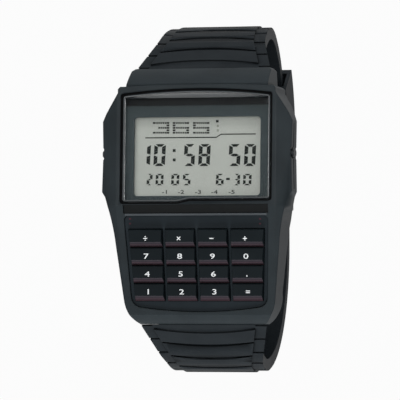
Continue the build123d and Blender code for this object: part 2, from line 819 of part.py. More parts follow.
def make_battery():
    top = board_back_depth + seat_gap
    radius = battery_radius
    half = make_face(Polyline(
        (0, 0), (radius, 0), (radius, -battery_thickness + battery_step),
        (radius - battery_step, -battery_thickness + battery_step),
        (radius - battery_step, -battery_thickness), (0, -battery_thickness), close=True))
    cell = revolve(Plane.XZ * half, axis=Axis.Z)
    return Pos(0, battery_y, level(top)) * cell


def make_battery_clip():
    """A strap of sheet metal across the battery with a foot at each side of it."""
    under = board_back_depth + 2 * seat_gap + battery_thickness
    reach = battery_radius + 2 * seat_gap
    outer = make_face(Polyline(
        (-reach - clip_thickness, level(board_back_depth + seat_gap)),
        (-reach, level(board_back_depth + seat_gap)),
        (-reach, level(under)), (reach, level(under)),
        (reach, level(board_back_depth + seat_gap)),
        (reach + clip_thickness, level(board_back_depth + seat_gap)),
        (reach + clip_thickness, level(under + clip_thickness)),
        (-reach - clip_thickness, level(under + clip_thickness)), close=True))
    return Pos(0, battery_y, 0) * extrude(Plane.XZ * outer, amount=clip_width / 2, both=True)


def make_chip():
    """A drop of black resin over the chip."""
    arc_radius = (chip_radius ** 2 + chip_height ** 2) / (2 * chip_height)
    ball = Pos(0, chip_y, level(board_back_depth + chip_height - arc_radius)) * Sphere(arc_radius)
    return ball & below_level(board_back_depth + seat_gap)


def make_crystal():
    can = Cylinder(crystal_radius, crystal_length, rotation=(90, 0, 0))
    return Pos(crystal_x, crystal_y, level(board_back_depth + seat_gap + crystal_radius)) * can


def keypad_point(v, height):
    """Side view place of a point given in the keypad plane."""
    point = keypad_plane.from_local_coords(Vector(0, v, height))
    return (point.Y, point.Z)


def make_keypad_board():
    return keypad_plane * slab(well_outline(-2 * slide_gap), board_top, board_under)


def make_cable():
    """A flat cable from the keypad board round the end of the main board to its back."""
    under = board_under - seat_gap - cable_thickness / 2
    start = keypad_point(cable_start, under)
    bend = keypad_point(cable_bend, under)
    low = level(board_back_depth + seat_gap + cable_thickness / 2)
    spine = FilletPolyline(start, bend, (bend[0], low), (cable_end_y, low),
                           radius=cable_bend_radius)
    ribbon = trace(spine, line_width=cable_thickness)
    return side_prism(ribbon, cable_width / 2)


def make_buzzer():
    base = level(case_back_depth) + seat_gap
    plate = Cylinder(buzzer_radius, buzzer_thickness,
                     align=(Align.CENTER, Align.CENTER, Align.MIN))
    disc = Cylinder(buzzer_disc_radius, buzzer_disc_thickness,
                    align=(Align.CENTER, Align.CENTER, Align.MIN))
    return Pos(0, buzzer_y, base) * (plate + Pos(0, 0, buzzer_thickness) * disc)


# Keypad

def make_panel():
    """One frame with a long opening for each column of keys."""
    plate = slab(panel_outline(0), panel_face, panel_under)
    low = key_row_edge(key_rows)
    for column in range(key_columns):
        plate -= slab(column_outline(column, key_first_edge + slide_gap, low - slide_gap, slide_gap),
                      overrun, panel_under - overrun)
    return keypad_plane * plate


def key_row_edge(row):
    """Upper edge of a row of keys, or the lower edge of the last one."""
    return key_first_edge - row * key_pitch_y


def outer_key_edge(v):
    share = (v - key_first_edge) / (key_row_edge(key_rows) - key_first_edge)
    return key_outer_top + share * (key_outer_bottom - key_outer_top)


def column_outline(column, top, bottom, grow):
    """Outline of one column between two heights: its outer edge follows the panel's taper."""
    left_groove = (column - key_columns / 2) * key_pitch_x + key_gap_x / 2
    right_groove = (column + 1 - key_columns / 2) * key_pitch_x - key_gap_x / 2
    if column == 0:
        left = (-outer_key_edge(top), -outer_key_edge(bottom))
    else:
        left = (left_groove, left_groove)
    if column == key_columns - 1:
        right = (outer_key_edge(top), outer_key_edge(bottom))
    else:
        right = (right_groove, right_groove)
    return make_face(Polyline((left[0] - grow, top), (right[0] + grow, top),
                              (right[1] + grow, bottom), (left[1] - grow, bottom), close=True))


def make_key(column, row):
    """A stepped key: the top rises towards its crest and then falls in a sloping lower face."""
    top = key_row_edge(row) - key_gap_y / 2
    bottom = key_row_edge(row + 1) + key_gap_y / 2
    crest = bottom + key_end_bevel
    stem = slab(column_outline(column, top, bottom, 0), key_crest, flange_under)
    profile = make_face(Polyline(
        (top, flange_under - overrun), (top, key_back - key_back_bevel),
        (top - key_back_bevel, key_back), (crest, key_crest),
        (bottom, key_toe), (bottom, flange_under - overrun), close=True))
    stem &= extrude(Plane.YZ * profile, amount=case_half_length, both=True)
    # Bevels down both sides of the cap.
    outline = column_outline(column, top, bottom, 0)
    wide = column_outline(column, top + overrun, bottom - overrun, 0)
    slim = column_outline(column, top + overrun, bottom - overrun, -key_side_bevel)
    sides = loft([Pos(0, 0, key_toe) * wide, Pos(0, 0, key_crest + seat_gap) * slim], ruled=True)
    cap = stem & sides
    foot = slab(outline, key_toe, flange_under)
    flange = slab(column_outline(column, top - key_flange_inset, bottom + key_flange_inset,
                                 key_flange), flange_top, flange_under)
    return keypad_plane * (cap + foot + flange)


key_names = [
    ["divide", "multiply", "minus", "plus"],
    ["7", "8", "9", "0"],
    ["4", "5", "6", "point"],
    ["1", "2", "3", "equals"],
]


def key_middle(column, row):
    x = (column + 1 / 2 - key_columns / 2) * key_pitch_x
    v = key_row_edge(row) - key_pitch_y / 2
    return x, v


def make_membrane():
    sheet = slab(well_outline(-2 * slide_gap), membrane_top, membrane_under)
    dome = Cone(dome_radius, dome_top_radius, dome_height,
                align=(Align.CENTER, Align.CENTER, Align.MIN))
    for row in range(key_rows):
        for column in range(key_columns):
            x, v = key_middle(column, row)
            sheet += Pos(x, v, membrane_top) * dome
    return keypad_plane * sheet


# Case back

def back_outline(inset):
    """The back plate: wide behind the display, narrower behind the keypad."""
    wide = back_half_width - inset
    narrow = back_lower_half_width - inset
    top = back_half_length - inset
    return rounded([
        (-narrow, -top), (narrow, -top), (narrow, back_waist_y + inset),
        (wide, back_waist_y + inset), (wide, top), (-wide, top),
        (-wide, back_waist_y + inset), (-narrow, back_waist_y + inset),
    ], back_corner)


def make_case_back():
    top = level(case_back_depth + seat_gap)
    under = top - back_thickness
    solid = slab(back_outline(0), top, under)
    solid = chamfer(solid.faces().sort_by(Axis.Z)[0].edges(), back_edge_chamfer)
    # The middle stands a little lower than the rim that the screws pass through.
    rim = back_outline(-overrun) - back_outline(back_rim)
    solid -= slab(rim, under + back_rim_step, under - overrun)
    for x, y in screw_places():
        hole = Cylinder(screw_radius + seat_gap, 2 * back_thickness + overrun)
        sink = Cylinder(screw_head_radius + seat_gap, 2 * screw_sink_depth)
        solid -= Pos(x, y, under + back_rim_step) * (hole + sink)
    return solid


def make_case_back_seal():
    outer = back_seal_inset + back_seal_width - seat_gap
    inner = back_seal_inset + seat_gap
    ring = (room_outline(outer, lower_room_bottom_y - outer)
            - room_outline(inner, lower_room_bottom_y - inner))
    return slab(ring, level(case_back_depth - back_seal_thickness + seat_gap),
                level(case_back_depth))


def make_screw(x, y):
    under = level(case_back_depth + seat_gap) - back_thickness + back_rim_step
    head = Cylinder(screw_head_radius, screw_head_height,
                    align=(Align.CENTER, Align.CENTER, Align.MIN))
    shank = Cylinder(screw_radius, screw_length, align=(Align.CENTER, Align.CENTER, Align.MIN))
    slot = Box(2 * screw_head_radius, screw_slot_width, 2 * screw_slot_depth)
    return Pos(x, y, under) * (head + shank - slot)


def make_screws():
    return Compound(children=[make_screw(x, y) for x, y in screw_places()])


# Side buttons

contact_outer_x = shaft_tip_x - button_travel - contact_gap


def make_button(x_sign):
    """An oval head on a round shaft with a groove for the clip that keeps it in."""
    head = head_prism(0, head_inner_x, button_outer_x)
    head = chamfer(head.faces().sort_by(Axis.X)[-1].edges(), button_head_bevel)
    shaft = x_cylinder(shaft_radius, shaft_tip_x, head_inner_x)
    groove = x_cylinder(shaft_radius + overrun, clip_groove_x, clip_groove_x + clip_ring_thickness)
    groove -= x_cylinder(shaft_groove_radius, shaft_tip_x - overrun, head_inner_x)
    return on_side(head + (shaft - groove), x_sign)


def make_button_clip(x_sign):
    """An open ring in the shaft's groove, inside the case."""
    start = clip_groove_x + pivot_gap / 2
    end = clip_groove_x + clip_ring_thickness - pivot_gap / 2
    ring = x_cylinder(clip_ring_radius, start, end)
    ring -= x_cylinder(shaft_groove_radius + pivot_gap / 2, start - overrun, end + overrun)
    slot = Box(overrun, clip_ring_slot, clip_ring_radius)
    ring -= Pos(start, button_y, level(button_depth) - clip_ring_radius / 2) * slot
    return on_side(largest(ring), x_sign)


def make_button_seal(x_sign):
    start = seal_room_x + seat_gap
    ring = x_cylinder(shaft_room_radius - seat_gap, start, start + seal_length)
    ring -= x_cylinder(shaft_radius + pivot_gap / 2, start - overrun, start + overrun)
    return on_side(ring, x_sign)


def make_button_spring(x_sign):
    """A coil round the shaft, drawn at the length that it has with the button pressed."""
    start = spring_inner_x + spring_wire_radius
    height = head_inner_x - spring_wire_radius - seat_gap / 2 - start
    coil = Helix(height / spring_turns, height, spring_coil_radius)
    wire = sweep(Plane(origin=coil @ 0, z_dir=coil % 0) * Circle(spring_wire_radius), path=coil)
    wire = Pos(start, button_y, level(button_depth)) * Rot(0, 90, 0) * wire
    return on_side(wire, x_sign)


def make_button_contact(x_sign):
    """A springy leaf that stands on the board in front of the button's shaft."""
    inner_x = contact_outer_x - contact_thickness
    foot_x = contact_outer_x - contact_foot
    leaf = make_face(Polyline(
        (contact_outer_x, level(contact_top_depth + seat_gap)),
        (contact_outer_x, level(module_floor_depth)),
        (foot_x, level(module_floor_depth)),
        (foot_x, level(module_floor_depth - contact_thickness)),
        (inner_x, level(module_floor_depth - contact_thickness)),
        (inner_x, level(contact_top_depth + seat_gap)), close=True))
    solid = extrude(Plane.XZ * leaf, amount=contact_half_width, both=True)
    return on_side(Pos(0, button_y, 0) * solid, x_sign)


# Strap

def solve_leg(end_depth):
    """Straight run and first arc radius that take the strap from the case to its widest place."""
    a = radians(strap_start_angle)
    dy = loop_half_length - strap_start_y
    dd = end_depth - strap_start_depth
    # dy = run cos a + radius (1 - sin a), dd = run sin a + radius cos a
    det = cos(a) * cos(a) - sin(a) * (1 - sin(a))
    run = (dy * cos(a) - dd * (1 - sin(a))) / det
    radius = (dd * cos(a) - dy * sin(a)) / det
    return run, radius


class StrapPath:
    """Outer line of one strap half in the side view, by length from the case, and its widths."""

    def __init__(self, corner_radius, corner_depth, widths):
        self.widths = widths
        self.root_half_width = widths[0][0]
        self.corner_radius = corner_radius
        self.corner_depth = corner_depth
        self.corner_y = loop_half_length - corner_radius
        self.run, self.leg_radius = solve_leg(corner_depth)
        self.leg_turn = radians(90 - strap_start_angle)
        self.leg_length = self.leg_radius * self.leg_turn
        self.corner_length = corner_radius * radians(90)

    def place(self, s, inset):
        """Side view point and outward angle at a length, moved inwards by the inset."""
        a = radians(strap_start_angle)
        if s < self.run:
            y = strap_start_y + s * cos(a)
            depth = strap_start_depth + s * sin(a)
            heading = a
        elif s < self.run + self.leg_length:
            heading = a + (s - self.run) / self.leg_radius
            y = loop_half_length - self.leg_radius * (1 - sin(heading))
            depth = self.corner_depth - self.leg_radius * cos(heading)
        elif s < self.run + self.leg_length + self.corner_length:
            turned = (s - self.run - self.leg_length) / self.corner_radius
            heading = radians(90) + turned
            y = self.corner_y + self.corner_radius * cos(turned)
            depth = self.corner_depth + self.corner_radius * sin(turned)
        else:
            heading = radians(180)
            y = self.corner_y - (s - self.run - self.leg_length - self.corner_length)
            depth = self.corner_depth + self.corner_radius
        # The outward normal of a heading, in y and depth.
        out_y = sin(heading)
        out_depth = -cos(heading)
        return y - inset * out_y, depth - inset * out_depth, out_y, out_depth

    def half_width_at(self, depth):
        """Half width of the strap at a depth, between the bends of its side."""
        for (wide, upper), (narrow, lower) in zip(self.widths, self.widths[1:]):
            if depth < lower:
                share = max(0, (depth - upper) / (lower - upper))
                return wide + share * (narrow - wide)
        return self.widths[-1][0]

    def length_to_flat(self):
        return self.run + self.leg_length + self.corner_length

    def edges(self, inset, s_start, end_y=None):
        """The path's edges at an inset, from a length near the case to a place on the flat."""
        start = self.place(s_start, inset)[:2]
        bend = self.place(self.run, inset)[:2]
        middle = self.place(self.run + self.leg_length / 2, inset)[:2]
        side = self.place(self.run + self.leg_length, inset)[:2]
        corner = self.place(self.run + self.leg_length + self.corner_length / 2, inset)[:2]
        flat = self.place(self.length_to_flat(), inset)[:2]
        found = [
            Line(side_point(*start), side_point(*bend)),
            ThreePointArc(side_point(*bend), side_point(*middle), side_point(*side)),
            ThreePointArc(side_point(*side), side_point(*corner), side_point(*flat)),
        ]
        if end_y is not None:
            found.append(Line(side_point(*flat), side_point(end_y, flat[1])))
        return found

    def plane(self, s, inset, y_sign):
        """A plane on the strap's surface looking outwards, with its Y along the strap."""
        y, depth, out_y, out_depth = self.place(s, inset)
        return Plane(origin=(0, y_sign * y, level(depth)), x_dir=(1, 0, 0),
                     z_dir=(0, y_sign * out_y, -out_depth))


upper_path = StrapPath(upper_corner_radius, upper_corner_depth, [
    (upper_root_half_width, strap_start_depth),
    (upper_shoulder_half_width, upper_shoulder_depth),
    (upper_side_half_width, upper_side_depth),
    (buckle_end_half_width, upper_flat_depth),
])
lower_path = StrapPath(lower_corner_radius, lower_corner_depth, [
    (lower_root_half_width, strap_start_depth),
    (lower_shoulder_half_width, lower_shoulder_depth),
    (lower_side_half_width, lower_side_depth),
])


def strap_front_outline(path, grow):
    """Widths seen from the front: full at the case, narrower down the loop, with rounded bends."""
    corners = [(half_width + grow, level(depth)) for half_width, depth in path.widths]
    start, narrow = corners[0][0], corners[-1][0]
    bottom = -overrun
    curve = FilletPolyline(*corners, (narrow, bottom), radius=strap_bend_radius)
    rest = Polyline((narrow, bottom), (0, bottom), (0, face_height), (start, face_height), corners[0])
    half = make_face([curve, rest])
    prism = extrude(Plane.XZ * half, amount=2 * loop_half_length, both=True)
    return both_sides(prism)


def strap_body(path, end_y):
    """The strap's plain band, under the pads."""
    outer = path.edges(pad_height, 0, end_y)
    inner = path.edges(strap_thickness, 0, end_y)
    caps = [Line(outer[0] @ 0, inner[0] @ 0), Line(outer[-1] @ 1, inner[-1] @ 1)]
    return make_face(outer + inner + caps)


def pad_face(path):
    """The raised layer that the pads are cut from."""
    low = path.edges(pad_height, pad_first)
    high = path.edges(0, pad_first)
    caps = [Line(low[0] @ 0, high[0] @ 0), Line(low[-1] @ 1, high[-1] @ 1)]
    return make_face(low + high + caps)


def make_pads(path, y_sign):
    """Raised pads in a row along the strap, with bowed gaps between them."""
    layer = side_prism(pad_face(path), path.root_half_width)
    if y_sign < 0:
        layer = mirror(layer, about=Plane.XZ)
    layer &= strap_front_outline(path, -strap_border)
    for index in range(pad_count + 1):
        surface = path.plane(pad_first + index * pad_pitch, pad_height, y_sign)
        pad_half_width = path.half_width_at(face_height - surface.origin.Z) - strap_border
        gap = oval_bar(pad_half_width + overrun, y_sign * pad_groove_sag, pad_groove, pad_groove_end)
        layer -= surface * slab(gap, pad_height + overrun, -pad_height)
    # Nothing is raised before the first gap or beyond the last one.
    s_start = pad_first + pad_groove_sag
    s_end = pad_first + pad_count * pad_pitch
    keep = []
    for solid in layer.solids():
        centre = solid.center()
        length = along(path, y_sign * centre.Y, face_height - centre.Z)
        if s_start < length < s_end:
            keep.append(solid)
    return keep


def along(path, y, depth):
    """Length along the strap of a point near its surface."""
    a = radians(strap_start_angle)
    if depth >= path.corner_depth:
        turned = atan2(depth - path.corner_depth, y - path.corner_y)
        return path.run + path.leg_length + path.corner_radius * turned
    leg_y = loop_half_length - path.leg_radius
    heading = atan2(y - leg_y, path.corner_depth - depth)
    if heading >= a:
        return path.run + (heading - a) * path.leg_radius
    return (y - strap_start_y) * cos(a) + (depth - strap_start_depth) * sin(a)


def strap_half(path, y_sign, end_y):
    """Band, pads and border slots of one half, without its ends."""
    band = side_prism(strap_body(path, end_y), path.root_half_width + overrun)
    if y_sign < 0:
        band = mirror(band, about=Plane.XZ)
    band &= strap_front_outline(path, 0)
    for index in range(pad_count + 1):
        s = pad_first + index * pad_pitch - border_slot_shift
        slot = Rectangle(strap_border * 2, border_slot_width)
        surface = path.plane(s, pad_height, y_sign)
        depth = face_height - surface.origin.Z
        edge = path.half_width_at(depth)
        for x_sign in (-1, 1):
            band -= surface * Pos(x_sign * edge, 0, 0) * slab(slot, overrun, -border_slot_depth)
    for pad in make_pads(path, y_sign):
        band += pad
    return band


def strap_eye(y_sign):
    """The narrow tongue of the strap with the eye that takes the spring bar."""
    eye = Cylinder(strap_eye_radius, 2 * strap_tongue_half_width, rotation=(0, 90, 0))
    eye = Pos(0, spring_bar_y, level(spring_bar_depth)) * eye
    neck_end = strap_start_y + strap_neck_overlap
    neck = make_face(Polyline(
        side_point(spring_bar_y, spring_bar_depth - strap_eye_radius),
        side_point(neck_end, spring_bar_depth - strap_eye_radius),
        side_point(neck_end, spring_bar_depth + strap_eye_radius),
        side_point(spring_bar_y, spring_bar_depth + strap_eye_radius), close=True))
    solid = eye + side_prism(neck, strap_tongue_half_width)
    return solid if y_sign > 0 else mirror(solid, about=Plane.XZ)


def bar_hole(y, depth, radius):
    hole = Cylinder(radius + pivot_gap, 4 * guard_half_width, rotation=(0, 90, 0))
    return Pos(0, y, level(depth)) * hole


def case_clearance(y_sign):
    """Trims the strap's root so that it never reaches under the case's end."""
    length = case_half_length
    block = Box(4 * case_half_length, length, 2 * case_half_length)
    return Pos(0, y_sign * (strap_start_y - length / 2), level(0)) * block


def make_strap_buckle_half():
    """Half at twelve o'clock, which ends at the buckle's bar."""
    band = strap_half(upper_path, 1, strap_buckle_end_y)
    band -= case_clearance(1)
    band += strap_eye(1)
    end_eye = Cylinder(buckle_eye_radius, 2 * buckle_end_half_width, rotation=(0, 90, 0))
    band += Pos(0, strap_buckle_end_y, level(buckle_bar_depth)) * end_eye
    band -= bar_hole(spring_bar_y, spring_bar_depth, spring_bar_radius)
    band -= bar_hole(strap_buckle_end_y, buckle_bar_depth, buckle_bar_radius)
    slot_length = 2 * buckle_eye_radius + overrun
    slot = Box(2 * buckle_slot_half_width, 2 * slot_length, 2 * strap_thickness)
    band -= Pos(0, strap_buckle_end_y, level(buckle_bar_depth)) * slot
    return largest(band)


def tail_face():
    """Side view of the tail, which lies over the buckle half and follows its curve."""
    centre_y = upper_corner_y
    outer_radius = tail_outer_depth - upper_corner_depth
    inner_radius = tail_inner_depth - upper_corner_depth
    turn = radians(tail_end_angle)
    start_y = lower_flat_start

    def on_arc(radius, angle):
        return side_point(centre_y + radius * sin(angle), upper_corner_depth + radius * cos(angle))

    edges = [
        Line(side_point(start_y, tail_outer_depth), side_point(centre_y, tail_outer_depth)),
        ThreePointArc(side_point(centre_y, tail_outer_depth), on_arc(outer_radius, turn / 2),
                      on_arc(outer_radius, turn)),
        Line(on_arc(outer_radius, turn), on_arc(inner_radius, turn)),
        ThreePointArc(on_arc(inner_radius, turn), on_arc(inner_radius, turn / 2),
                      side_point(centre_y, tail_inner_depth)),
        Line(side_point(centre_y, tail_inner_depth), side_point(start_y, tail_inner_depth)),
        Line(side_point(start_y, tail_inner_depth), side_point(start_y, tail_outer_depth)),
    ]
    return make_face(edges)


def tail_plan():
    """The tail from below: it narrows before the buckle and its end is rounded."""
    tip_y = upper_corner_y + (tail_outer_depth - upper_corner_depth) * sin(radians(tail_end_angle))
    buckle_y = buckle_far_y - buckle_far_width
    side = [(lower_side_half_width, lower_flat_start - overrun),
            (lower_side_half_width, buckle_y - tail_shoulder),
            (buckle_end_half_width, buckle_y),
            (strap_tip_half_width, tip_y)]
    other_side = [(-x, y) for x, y in reversed(side)]
    face = make_face(Polyline(*side, *other_side, close=True))
    return fillet(face.vertices().group_by(Axis.Y)[-1], strap_tip_radius)


def hole_cutter():
    slot = RectangleRounded(2 * hole_half_width, 2 * hole_half_length, hole_half_width * hole_corner_share)
    return extrude(slot, amount=strap_thickness + overrun, both=True)


def make_strap_hole_half():
    """Half at six o'clock, with the holes and the tail."""
    band = strap_half(lower_path, -1, lower_path.corner_y - overrun)
    band -= case_clearance(-1)
    band += strap_eye(-1)
    tail = side_prism(tail_face(), lower_root_half_width)
    tail &= slab(tail_plan(), face_height, -overrun)
    band += tail
    band -= bar_hole(-spring_bar_y, spring_bar_depth, spring_bar_radius)
    for hole in hole_places():
        band -= hole * hole_cutter()
    return largest(band)


def hole_places():
    """Planes at the adjusting holes, the tongue's own hole among them."""
    places = []
    tongue_y = (tongue_knee_y + tongue_rise_y) / 2
    for index in range(-holes_towards_case, holes_towards_tip + 1):
        y = tongue_y + index * hole_pitch
        if y < lower_flat_start:
            s = lower_path.length_to_flat() - (-y + lower_flat_start)
            places.append(lower_path.plane(s, pad_height + base_thickness / 2, -1))
        elif y > upper_corner_y:
            turned = (y - upper_corner_y) / (tail_outer_depth - upper_corner_depth)
            radius = tail_outer_depth - upper_corner_depth - base_thickness / 2
            places.append(Plane(
                origin=(0, upper_corner_y + radius * sin(turned),
                        level(upper_corner_depth + radius * cos(turned))),
                x_dir=(1, 0, 0), z_dir=(0, sin(turned), -cos(turned))))
        else:
            places.append(Plane(origin=(0, y, level((tail_outer_depth + tail_inner_depth) / 2)),
                                x_dir=(1, 0, 0), z_dir=(0, 0, -1)))
    return places


def make_spring_bar(y_sign):
    half = strap_tongue_half_width + keeper_gap - seat_gap
    body = Cylinder(spring_bar_radius, 2 * half, rotation=(0, 90, 0))
    pivot_half = half + spring_bar_pivot_length - seat_gap
    pivot = Cylinder(spring_bar_pivot_radius, 2 * pivot_half, rotation=(0, 90, 0))
    return Pos(0, y_sign * spring_bar_y, level(spring_bar_depth)) * (body + pivot)


# Buckle

buckle_inner_half_width = buckle_end_half_width + keeper_gap


def make_buckle_bar():
    body = Cylinder(buckle_bar_radius, 2 * (buckle_inner_half_width - seat_gap),
                    rotation=(0, 90, 0))
    pivot = Cylinder(buckle_bar_pivot_radius, 2 * (buckle_inner_half_width + buckle_rail / 2),
                     rotation=(0, 90, 0))
    return Pos(0, strap_buckle_end_y, level(buckle_bar_depth)) * (body + pivot)


def make_buckle_frame():
    """A stamped frame: two side rails from the bar out to the far bar that the tongue rests on."""
    rail_start = (strap_buckle_end_y, level(buckle_bar_depth))
    rail_radius = buckle_eye_radius
    near = Pos(*rail_start) * Circle(rail_radius)
    far = Pos(buckle_far_y, level(buckle_far_depth + buckle_far_thickness / 2)) * Circle(
        buckle_far_thickness / 2)
    hull = make_hull((near.edges() + far.edges()))
    rails = side_prism(hull, buckle_inner_half_width + buckle_rail)
    rails -= Box(2 * buckle_inner_half_width, 4 * loop_half_length, 4 * face_height)
    bar = Pos(buckle_far_y, level(buckle_far_depth + buckle_far_thickness / 2)) * RectangleRounded(
        buckle_far_width, buckle_far_thickness, buckle_far_thickness / 3)
    frame = rails + side_prism(bar, buckle_inner_half_width + buckle_rail)
    notch = Box(2 * (tongue_half_width + slide_gap), 2 * buckle_far_width,
                2 * (tongue_thickness + 2 * seat_gap))
    frame -= Pos(0, buckle_far_y, 0) * notch
    frame -= bar_hole(strap_buckle_end_y, buckle_bar_depth, buckle_bar_pivot_radius)
    return largest(frame)


def make_tongue():
    """A flat finger bent round the buckle's bar, up through the strap's hole to the far bar."""
    half = tongue_thickness / 2
    low = level(buckle_bar_depth)
    high = tongue_thickness / 2 + seat_gap
    spine = Polyline((strap_buckle_end_y, low), (tongue_knee_y, low), (tongue_rise_y, high),
                     (tongue_tip_y, high))
    ribbon = trace(spine, line_width=2 * half)
    finger = side_prism(ribbon, tongue_half_width)
    eye = Cylinder(buckle_eye_radius, 2 * tongue_half_width, rotation=(0, 90, 0))
    finger += Pos(0, strap_buckle_end_y, low) * eye
    finger -= bar_hole(strap_buckle_end_y, buckle_bar_depth, buckle_bar_radius)
    return largest(finger)


def make_keeper():
    """A band round both layers of the strap, curved as they are."""
    inner_out = tail_outer_depth - upper_corner_depth + keeper_gap
    inner_in = upper_corner_radius - strap_thickness - keeper_gap
    start = radians(keeper_start_angle)
    end = radians(keeper_end_angle)
    outer_out = (face_height - upper_corner_depth) / cos(start)
    outer_in = inner_in - (outer_out - inner_out)
    half_inner = buckle_end_half_width + keeper_side_gap
    half_outer = half_inner + keeper_side_wall

    def sector(radius_low, radius_high, half_width):
        def at(radius, angle):
            return side_point(upper_corner_y + radius * sin(angle),
                              upper_corner_depth + radius * cos(angle))

        middle = (start + end) / 2
        face = make_face([
            ThreePointArc(at(radius_high, start), at(radius_high, middle), at(radius_high, end)),
            Line(at(radius_high, end), at(radius_low, end)),
            ThreePointArc(at(radius_low, end), at(radius_low, middle), at(radius_low, start)),
            Line(at(radius_low, start), at(radius_high, start))])
        return side_prism(face, half_width)

    band = sector(outer_in, outer_out, half_outer)
    hollow = sector(inner_in, inner_out, half_inner)
    return band - hollow


# Every node with the function that makes it

makers = {
    "case_body": (make_case,),
    "display_glass": (make_glass,),
    "glass_seal": (make_glass_seal,),
    "display_border": (make_border,),
    "display_panel": (make_lcd,),
    "backlight_panel": (make_backlight,),
    "contact_strip_upper": (make_contact_strip, 1),
    "contact_strip_lower": (make_contact_strip, -1),
    "module_frame": (make_module_frame,),
    "circuit_board": (make_main_board,),
    "chip_resin": (make_chip,),
    "quartz_crystal": (make_crystal,),
    "battery": (make_battery,),
    "battery_clip": (make_battery_clip,),
    "buzzer_disc": (make_buzzer,),
    "keypad_cable": (make_cable,),
    "keypad_board": (make_keypad_board,),
    "keypad_membrane": (make_membrane,),
    "keypad_panel": (make_panel,),
    "case_back": (make_case_back,),
    "case_back_seal": (make_case_back_seal,),
    "case_back_screws": (make_screws,),
    "spring_bar_upper": (make_spring_bar, 1),
    "spring_bar_lower": (make_spring_bar, -1),
    "strap_buckle_half": (make_strap_buckle_half,),
    "strap_hole_half": (make_strap_hole_half,),
    "buckle_bar": (make_buckle_bar,),
    "buckle_frame": (make_buckle_frame,),
    "buckle_tongue": (make_tongue,),
    "strap_keeper": (make_keeper,),
}
for side, x_sign in (("left", -1), ("right", 1)):
    makers["side_button_" + side] = (make_button, x_sign)
    makers["button_clip_" + side] = (make_button_clip, x_sign)
    makers["button_seal_" + side] = (make_button_seal, x_sign)
    makers["button_spring_" + side] = (make_button_spring, x_sign)
    makers["button_contact_" + side] = (make_button_contact, x_sign)
for row, names in enumerate(key_names):
    for column, name in enumerate(names):
        makers["key_" + name] = (make_key, column, row)

for node, (make, *choices) in makers.items():
    export_step(make(*choices), "parts/" + node + ".step")
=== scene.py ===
from math import cos, radians, sin, tan

import bmesh
import bpy
import numpy as np
from mathutils import Matrix, Vector


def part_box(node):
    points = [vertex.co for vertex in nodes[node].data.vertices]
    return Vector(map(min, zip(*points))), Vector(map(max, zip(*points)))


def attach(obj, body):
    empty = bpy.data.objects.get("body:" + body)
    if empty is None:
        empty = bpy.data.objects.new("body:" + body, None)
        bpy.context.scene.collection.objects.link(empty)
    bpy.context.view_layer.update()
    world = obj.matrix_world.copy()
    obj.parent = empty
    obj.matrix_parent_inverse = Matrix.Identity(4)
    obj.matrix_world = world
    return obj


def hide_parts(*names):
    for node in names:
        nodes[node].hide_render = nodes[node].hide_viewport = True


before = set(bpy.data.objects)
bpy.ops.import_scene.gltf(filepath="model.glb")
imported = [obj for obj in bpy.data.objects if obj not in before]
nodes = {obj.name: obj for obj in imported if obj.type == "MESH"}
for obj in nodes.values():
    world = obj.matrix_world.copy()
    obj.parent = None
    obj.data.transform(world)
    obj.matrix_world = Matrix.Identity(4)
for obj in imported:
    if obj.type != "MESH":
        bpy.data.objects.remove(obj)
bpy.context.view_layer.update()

millimetre = 0.001
scene = bpy.context.scene
scene.view_settings.view_transform = "Standard"
print("frame loaded:", len(nodes), "nodes")

# Camera, at the photo's own viewing angle: a little from three o'clock and from six o'clock
cameraSet = {
    "turn": 12.0,  # degrees towards three o'clock
    "lean": 1.7,  # degrees towards six o'clock
    "distance": 0.6,
    "nearClip": 0.006,
    "pixelsPerMetre": 5330.0,  # at the ridge of the case
    "imageSize": 400.0,
    "middlePixel": (194.9, 195.0),  # where the middle of the case's front lies in the image
}
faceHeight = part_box("case_body")[1].z
ridgePoint = Vector((0, -1.9 * millimetre, faceHeight))  # where display and keypad planes meet
focalPixels = cameraSet["pixelsPerMetre"] * cameraSet["distance"]
cameraBack = Vector((sin(radians(cameraSet["turn"])), -sin(radians(cameraSet["lean"])),
                     cos(radians(cameraSet["turn"])))).normalized()
cameraRight = Vector((0, 1, 0)).cross(cameraBack).normalized()
cameraUp = cameraBack.cross(cameraRight)


def makeCamera():
    half = cameraSet["imageSize"] / 2
    column, row = cameraSet["middlePixel"]
    middle = Vector((0, 0, faceHeight))
    shift = cameraRight * (half - column) - cameraUp * (half - row)
    aim = middle + shift / cameraSet["pixelsPerMetre"]
    data = bpy.data.cameras.new("photoCamera")
    camera = bpy.data.objects.new("photoCamera", data)
    scene.collection.objects.link(camera)
    data.lens = focalPixels / cameraSet["imageSize"] * data.sensor_width
    data.clip_start = cameraSet["nearClip"]
    place = Matrix((cameraRight, cameraUp, cameraBack)).transposed().to_4x4()
    place.translation = aim + cameraBack * cameraSet["distance"]
    camera.matrix_world = place
    scene.camera = camera
    return camera


camera = makeCamera()


def pixelRay(column, row):
    # Start and direction of the line of sight through one pixel of the 400 by 400 image
    half = cameraSet["imageSize"] / 2
    direction = cameraRight * (column - half) - cameraUp * (row - half) - cameraBack * focalPixels
    return camera.matrix_world.translation, direction.normalized()


# Faces of the CAD nodes that printed pieces lie on
faceSet = {
    "display": (0, 0.05, 1),  # directions that the wanted faces look in
    "keypad": (0, -0.2, 1),
    "key": (0, -0.06, 1),
    "likeness": 0.97,  # least product of a triangle's normal with the direction
    "normalSteps": 200,  # triangles are in one plane when their normals and distances from
    "planeSteps": 20000,  # the origin agree to these steps
}


